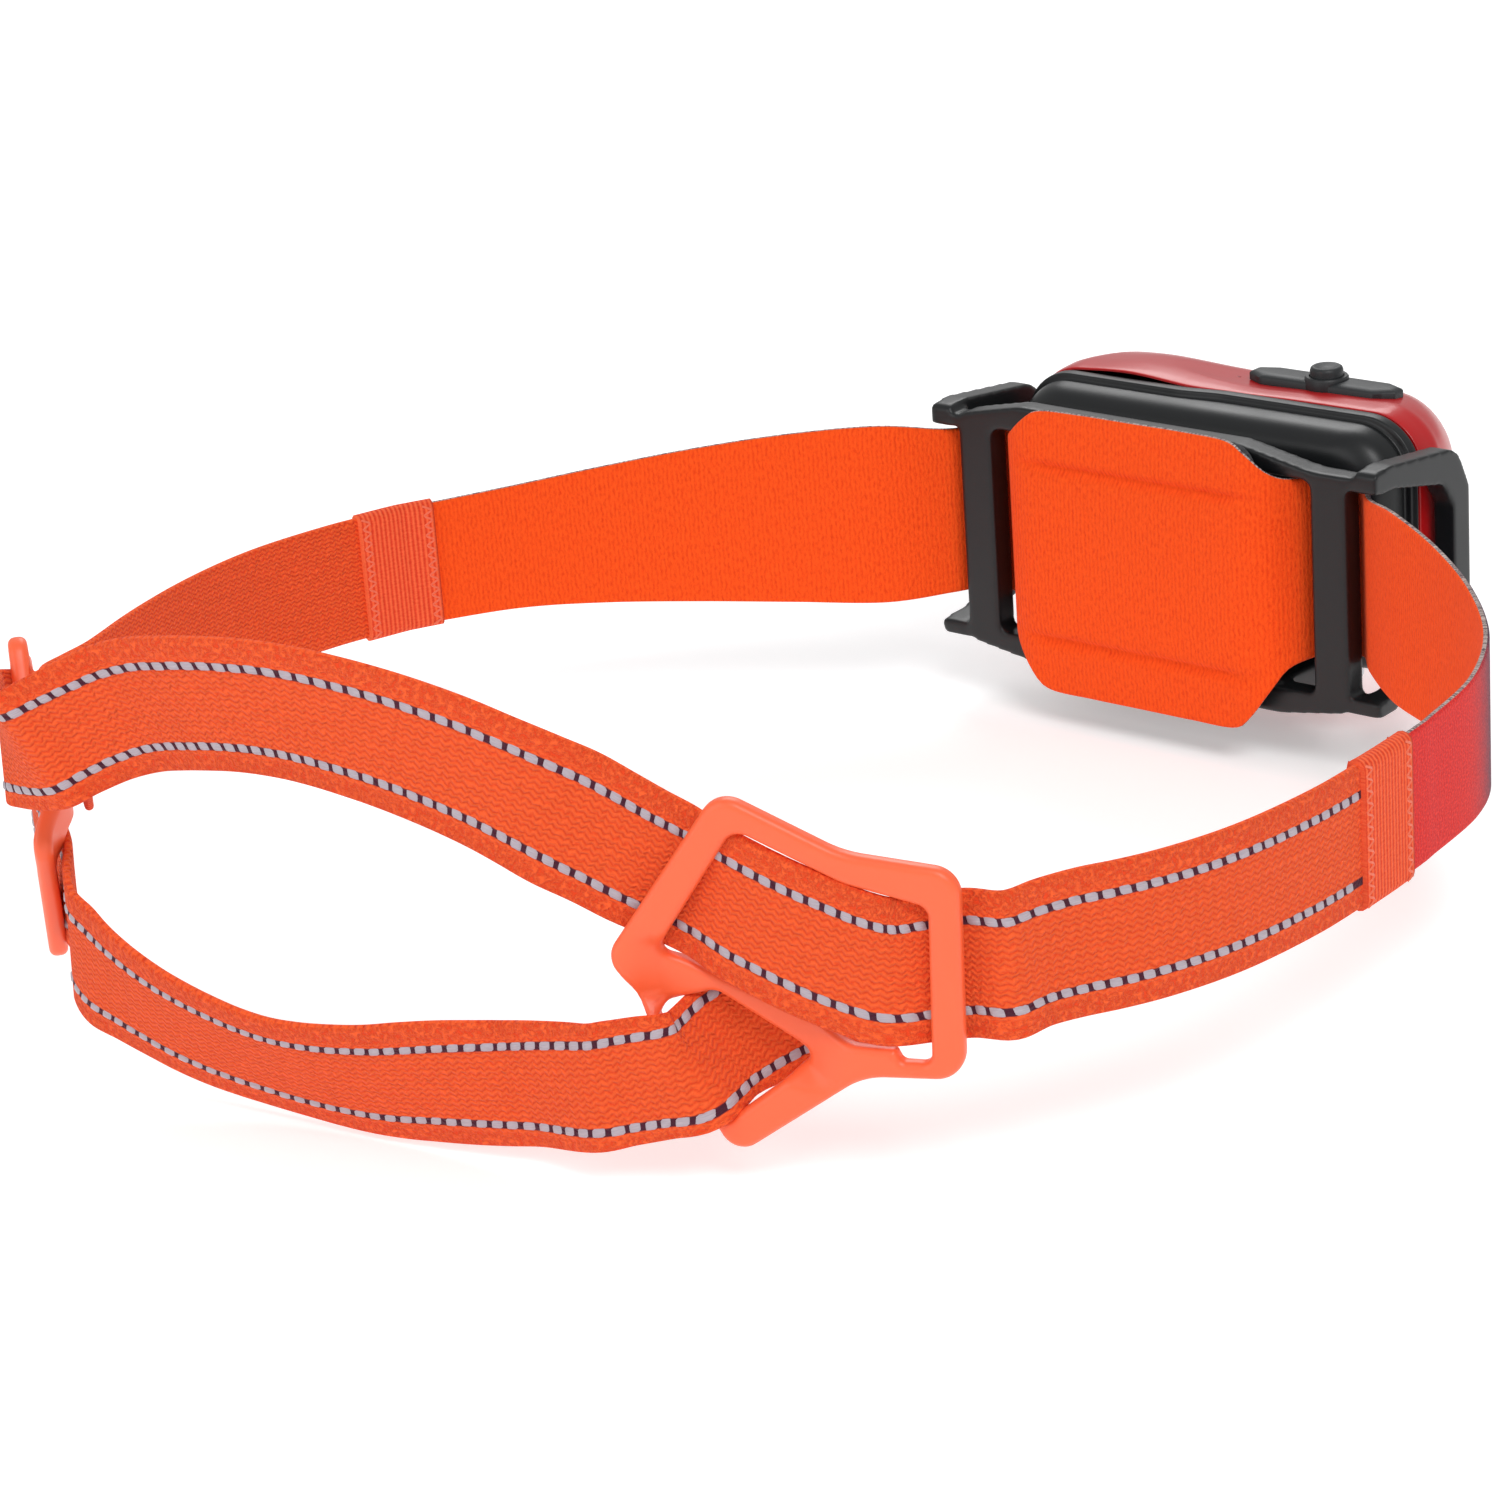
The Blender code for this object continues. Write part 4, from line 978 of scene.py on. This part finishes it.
def carve(made, tool, operation):
    step = made.modifiers.new("carve", "BOOLEAN")
    step.operation = operation
    step.solver = "EXACT"
    step.object = tool


def settle(made):
    """Applies an object's modifiers to its mesh and removes what they used."""
    used = [step.object for step in made.modifiers if step.type == "BOOLEAN"]
    bpy.context.view_layer.update()
    done = bpy.data.meshes.new_from_object(made.evaluated_get(bpy.context.evaluated_depsgraph_get()))
    made.modifiers.clear()
    made.data = done
    for other in used:
        bpy.data.objects.remove(other)


def sheet_outline(name, outlines, half_thickness, edge=0.0):
    """A flat shape between outlines in (x, y), with a thickness and, where edge isn't 0, rounded edges."""
    curve = bpy.data.curves.new(name, "CURVE")
    curve.dimensions = "2D"
    curve.fill_mode = "BOTH"
    curve.extrude = (half_thickness - edge) * MM
    curve.bevel_depth = edge * MM
    curve.bevel_resolution = 4
    curve.offset = -edge * MM
    for outline in outlines:
        spline = curve.splines.new("POLY")
        spline.points.add(len(outline) - 1)
        for point, (x, y) in zip(spline.points, outline):
            point.co = (x * MM, y * MM, 0, 1)
        spline.use_cyclic_u = True
    holder = linked(name, curve)
    bpy.context.view_layer.update()
    mesh = bpy.data.meshes.new_from_object(holder.evaluated_get(bpy.context.evaluated_depsgraph_get()))
    bpy.data.objects.remove(holder)
    return mesh


def frame_body(finish):
    """The moulded frame: its pieces are merged and softened, so that every junction has a fillet."""
    outside = [(34.5, 15.8, 2.0), (23.0, 18.2, 5.0), (-16.5, 17.9, 5.0), (-28.0, 15.6, 3.0), (-34.5, 15.2, 2.0),
               (-34.5, -20.4, 2.4), (-22.0, -22.4, 5.0), (22.0, -22.4, 5.0), (34.5, -20.4, 2.4)]
    hole = [(28.5, 14.1, 1.5), (-28.5, 14.1, 1.5), (-28.5, -18.4, 1.5), (28.5, -18.4, 1.5)]
    stand_in_xz = Matrix.Rotation(math.radians(90), 4, "X")
    stand_in_yz = Matrix(((0, 0, 1), (1, 0, 0), (0, 1, 0))).to_4x4()
    merged = bmesh.new()

    def add(mesh, place):
        mesh.transform(place)
        merged.from_mesh(mesh)
        bpy.data.meshes.remove(mesh)

    ring = sheet_outline("frame_ring", [arc_corner(outside), arc_corner(hole)], 2.0)
    add(ring, Matrix.Translation((0, -6.4 * MM, 0)) @ stand_in_xz)
    loop = [(-4.4, 16.6, 1.2), (-9.0, 16.8, 8.0), (-26.6, 14.6, 5.0), (-29.9, 8.0, 5.0), (-29.9, -11.5, 5.0),
            (-26.0, -16.2, 5.0), (-9.0, -20.2, 8.0), (-4.4, -20.4, 1.2), (-4.4, -18.0, 0.4),
            (-10.0, -17.6, 3.0), (-22.6, -12.6, 2.6), (-25.4, -8.5, 2.6), (-25.4, 6.2, 2.2), (-22.8, 10.0, 2.6),
            (-10.0, 13.0, 3.0), (-4.4, 13.4, 0.4)]
    for side in (-1, 1):
        add(sheet_outline("frame_loop", [arc_corner(loop)], 1.8),
            Matrix.Translation((side * 37.75 * MM, 0, 0)) @ stand_in_yz)
    for side in (-1, 1):
        for middle, half in (((34.6, -6.4, 14.5), (4.4, 1.9, 1.0)), ((34.6, -6.4, -19.1), (4.4, 1.9, 1.1)),
                             ((20.0, -12.3, -19.8), (2.0, 6.3, 2.0))):
            piece = block("frame_tie", (side * middle[0], *middle[1:]), half)
            merged.from_mesh(piece.data)
            bpy.data.objects.remove(piece)
        eye = bmesh.ops.create_cone(merged, cap_ends=True, segments=48, depth=4.0 * MM, radius1=2.55 * MM,
                                    radius2=2.55 * MM)["verts"]
        bmesh.ops.rotate(merged, matrix=Matrix.Rotation(math.radians(90), 3, "Y"), verts=eye)
        bmesh.ops.translate(merged, vec=Vector((side * 20.0, -18.4, -19.4)) * MM, verts=eye)
    made = linked("frame_body", mesh_of("frame_body", merged))
    blocks = made.modifiers.new("merge", "REMESH")
    blocks.mode = "VOXEL"
    blocks.voxel_size = 0.38 * MM
    soften = made.modifiers.new("soften", "SMOOTH")
    soften.factor = 0.5
    soften.iterations = 7
    settle(made)
    made.data.materials.clear()
    made.data.materials.append(finish)
    made.data.shade_smooth()
    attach(made, "headband")
    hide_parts("mounting_frame")


def turned_solid(name, profile, finish, spokes=64):
    """A closed solid turned about +Z, from (radius, height) points in millimetres."""
    rings = []
    for radius, height in profile:
        angles = np.linspace(0, 2 * math.pi, spokes, endpoint=False)
        x, y = radius * np.cos(angles), radius * np.sin(angles)
        rings.append(np.column_stack([x, y, np.full(spokes, height)]))
    return skin_rings(name, rings, finish, caps=(True, True))


def button_pieces(finish):
    """The bar with chamfered ends, and the round dimpled button in it."""
    low, high = -25.6, 0.0
    outline = [(low, -34.4), (low + 3.0, -36.0), (high - 3.0, -36.0), (high, -34.4),
               (high, -32.2), (high - 3.0, -30.5), (low + 3.0, -30.5), (low, -32.2)]
    middle = np.mean(outline, axis=0)
    spokes = []
    dense = np.array(densify(outline, 0.4))
    for inset, height in ((0.5, 17.9), (0.0, 18.3), (0.0, 19.3), (0.2, 19.55), (0.9, 19.8), (1.4, 19.85)):
        scale = 1 - inset / np.array([12.8, 2.75])
        flat = middle + (dense - middle) * scale
        spokes.append(np.column_stack([flat, np.full(len(flat), height)]))
    bar = skin_rings("button_surround", spokes, finish, caps=(True, True))
    tools = (("UNION", [(0.01, 17.9), (3.2, 17.9), (3.3, 18.1), (3.3, 20.1), (3.1, 20.35), (0.01, 20.35)]),
             ("DIFFERENCE", [(0.01, 15.0), (2.66, 15.0), (2.66, 24.0), (0.01, 24.0)]))
    to_button = Matrix.Translation(Vector((*BUTTON_CENTRE, 0)) * MM)
    for operation, outline in tools:
        tool = turned_solid("button_tool", outline, finish)
        tool.data.transform(to_button)
        carve(bar, tool, operation)
    settle(bar)
    bar.data.shade_smooth()
    bar.data.set_sharp_from_angle(angle=math.radians(40))
    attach(bar, "lamp")
    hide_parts("button_bar")
    profile = [(0.01, 16.0), (1.2, 16.0), (1.25, 17.2), (2.3, 17.5), (2.5, 17.8), (2.5, 21.2), (2.35, 21.6),
               (2.05, 21.8), (1.8, 21.75), (1.2, 21.5), (0.6, 21.42), (0.01, 21.4)]
    knob = turned_solid("button_knob", profile, finish)
    knob.data.transform(to_button)
    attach(knob, "button")
    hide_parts("power_button")


# ---------------------------------------------------------------- seams

# The path of each overlap of webbing and band, as x, y, and where the dashes begin on that webbing
SEAM_PATHS = {"left": [(91.6, 52.3), (93.4, 55.8), (94.3, 57.8), (96.1, 63.8)],
              "right": [(-86.85, 64.6), (-87.1, 69.0), (-87.25, 74.0), (-87.2, 76.0)]}
FIRST_DASH = {"left": 6.0, "right": 7.3}


def stitches(name, strip, rows, finish):
    """Raised threads on both faces of the cloth, from rows of (place, v) at both ends and the lift."""
    shape = bmesh.new()
    layer = shape.loops.layers.uv.new("cloth")
    for p0, v0, p1, v1, lift in rows:
        for face in (1, -1):
            grid = []
            run = math.hypot(p1 - p0, v1 - v0)
            side = np.array([-(v1 - v0), p1 - p0]) / run * 0.16
            for s in np.linspace(0, 1, 5):
                row = []
                for t in (-1.0, 0.0, 1.0):
                    place = p0 + (p1 - p0) * s + side[0] * t
                    v = v0 + (v1 - v0) * s + side[1] * t
                    loaf = math.sqrt(max(0.0, 1 - abs(2 * s - 1) ** 3)) * (1 - 0.8 * t * t)
                    height = lift + 0.22 * loaf - 0.06
                    row.append((shape.verts.new(Vector(strip.at(place, v, face * height)) * MM), place, v))
                grid.append(row)
            skin_grid(shape, layer, grid)
    mesh = mesh_of(name, shape)
    mesh.materials.append(finish)
    mesh.shade_smooth()
    made = linked(name, mesh)
    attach(made, "headband")


def side_seam(side, materials, sewing):
    """The doubled cloth where webbing and band are sewn together, with zigzag bars at both ends."""
    strip = webbing_strip([(x, y, 0.0, 0.0, 10.0) for x, y in SEAM_PATHS[side]], 0.5)
    patch = strip_mesh(side + "_seam_patch", strip, PATCH_THICK, materials)
    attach(patch, "headband")
    low, high = 0.2, strip.places[-1] - 0.2
    rows = []
    for bar in (low + 0.8, high - 0.8):
        count = 24
        for k in range(count):
            sway = 0.75 if k % 2 else -0.75
            v0, v1 = (-9.4 + 18.8 * end / count for end in (k, k + 1))
            rows.append((bar - sway, v0, bar + sway, v1, 1.36))
    stitches(side + "_seam_thread", strip, rows, sewing)


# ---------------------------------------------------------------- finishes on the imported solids

def finish_nodes():
    black = black_plastic()
    rubber = dark_rubber()
    clear = clear_plastic()
    board = board_green()
    steel = plain_metal("steel", (0.56, 0.57, 0.59), 0.28)
    brass = plain_metal("brass", (0.83, 0.62, 0.26), 0.25)
    glossy_black = moulded("reflector_black", (0.012, 0.012, 0.014), 0.25, 0.02)
    phosphor = led_phosphor()
    chosen = {
        "front_shell": red_shell_plastic(), "heat_sink": plain_metal("aluminium", (0.68, 0.69, 0.71), 0.35),
        "battery_cell": cell_wrap(),
        "bezel": glossy_black, "light_sensor": glossy_black,
    }
    groups = (
        (black, ("battery_case", "battery_lid", "mounting_frame")),
        (rubber, ("button_bar", "power_button", "seal_ring", "usb_cover")),
        (clear, ("gauge_light_pipe", "lens_window", "spot_lens", "flood_lens")),
        (board, ("led_board", "control_board")),
        (steel, ("board_screw_left", "board_screw_right", "tactile_switch", "usb_port", "hinge_pin_left",
                 "hinge_pin_right", "hinge_washer_left", "hinge_washer_right")),
        (brass, ("contact_pad_positive", "contact_pad_negative", "contact_spring_positive",
                 "contact_spring_negative")),
        (phosphor, ("spot_led", "flood_led")),
    )
    for finish, names in groups:
        for name in names:
            chosen[name] = finish
    for name, finish in chosen.items():
        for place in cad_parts[name].material_slots:
            place.material = finish


# ---------------------------------------------------------------- assembly

def build_straps():
    materials = [webbing_outer(), webbing_inner(), webbing_inner()]
    pale = dash_yarn()
    # The last two are where the strap leaves the headband and where it has joined the other side's ring
    plans = (
        ("right", RIGHT_SIDE, THROUGH_RIGHT, RIGHT_SLIDER, UPPER_REAR, LEFT_SLIDER, "left_slider_ring",
         (8.0, 0, 0), (47.0, 0, 0)),
        ("left", LEFT_SIDE, THROUGH_LEFT, LEFT_SLIDER, list(reversed(LOWER_REAR)), RIGHT_SLIDER,
         "right_slider_ring", (12.0, 0, 0), (-24.0, 0, 0)),
    )
    for number, (name, side, through, slider, rear, other, ring, start, end) in enumerate(plans):
        strip = strap(side, through, slider, rear, other)
        webbing = strip_mesh(name + "_webbing", strip, WEB_THICK, materials)
        dashes = dash_row(strip, name + "_dashes", pale, FIRST_DASH[name], strip.places[-1] - 2.0, number)
        start = tuple(c * MM for c in start)
        end = tuple(c * MM for c in end)
        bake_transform(webbing)
        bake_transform(dashes)
        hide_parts(name + "_strap", name + "_strap_loop")


place_camera()
light_studio()
lay_floor()
bpy.context.scene.view_settings.view_transform = "Standard"
finish_nodes()
shell_body(red_shell_plastic())
case_body(black_plastic())
frame_body(black_plastic())
button_pieces(dark_rubber())
forehead_band([jersey_outer(), jersey_inner(), raw_edge()])
foam_pad()
build_straps()
patch_cloth = seam_cloth()
sewing = thread("seam_thread", (0.92, 0.16, 0.07))
for side in ("left", "right"):
    side_seam(side, [patch_cloth] * 3, sewing)
plastic = slider_plastic()
ring_slider("right_ring", RIGHT_SLIDER, "right_slider", "right_slider_ring", plastic)
ring_slider("left_ring", LEFT_SLIDER, "left_slider", "left_slider_ring", plastic)
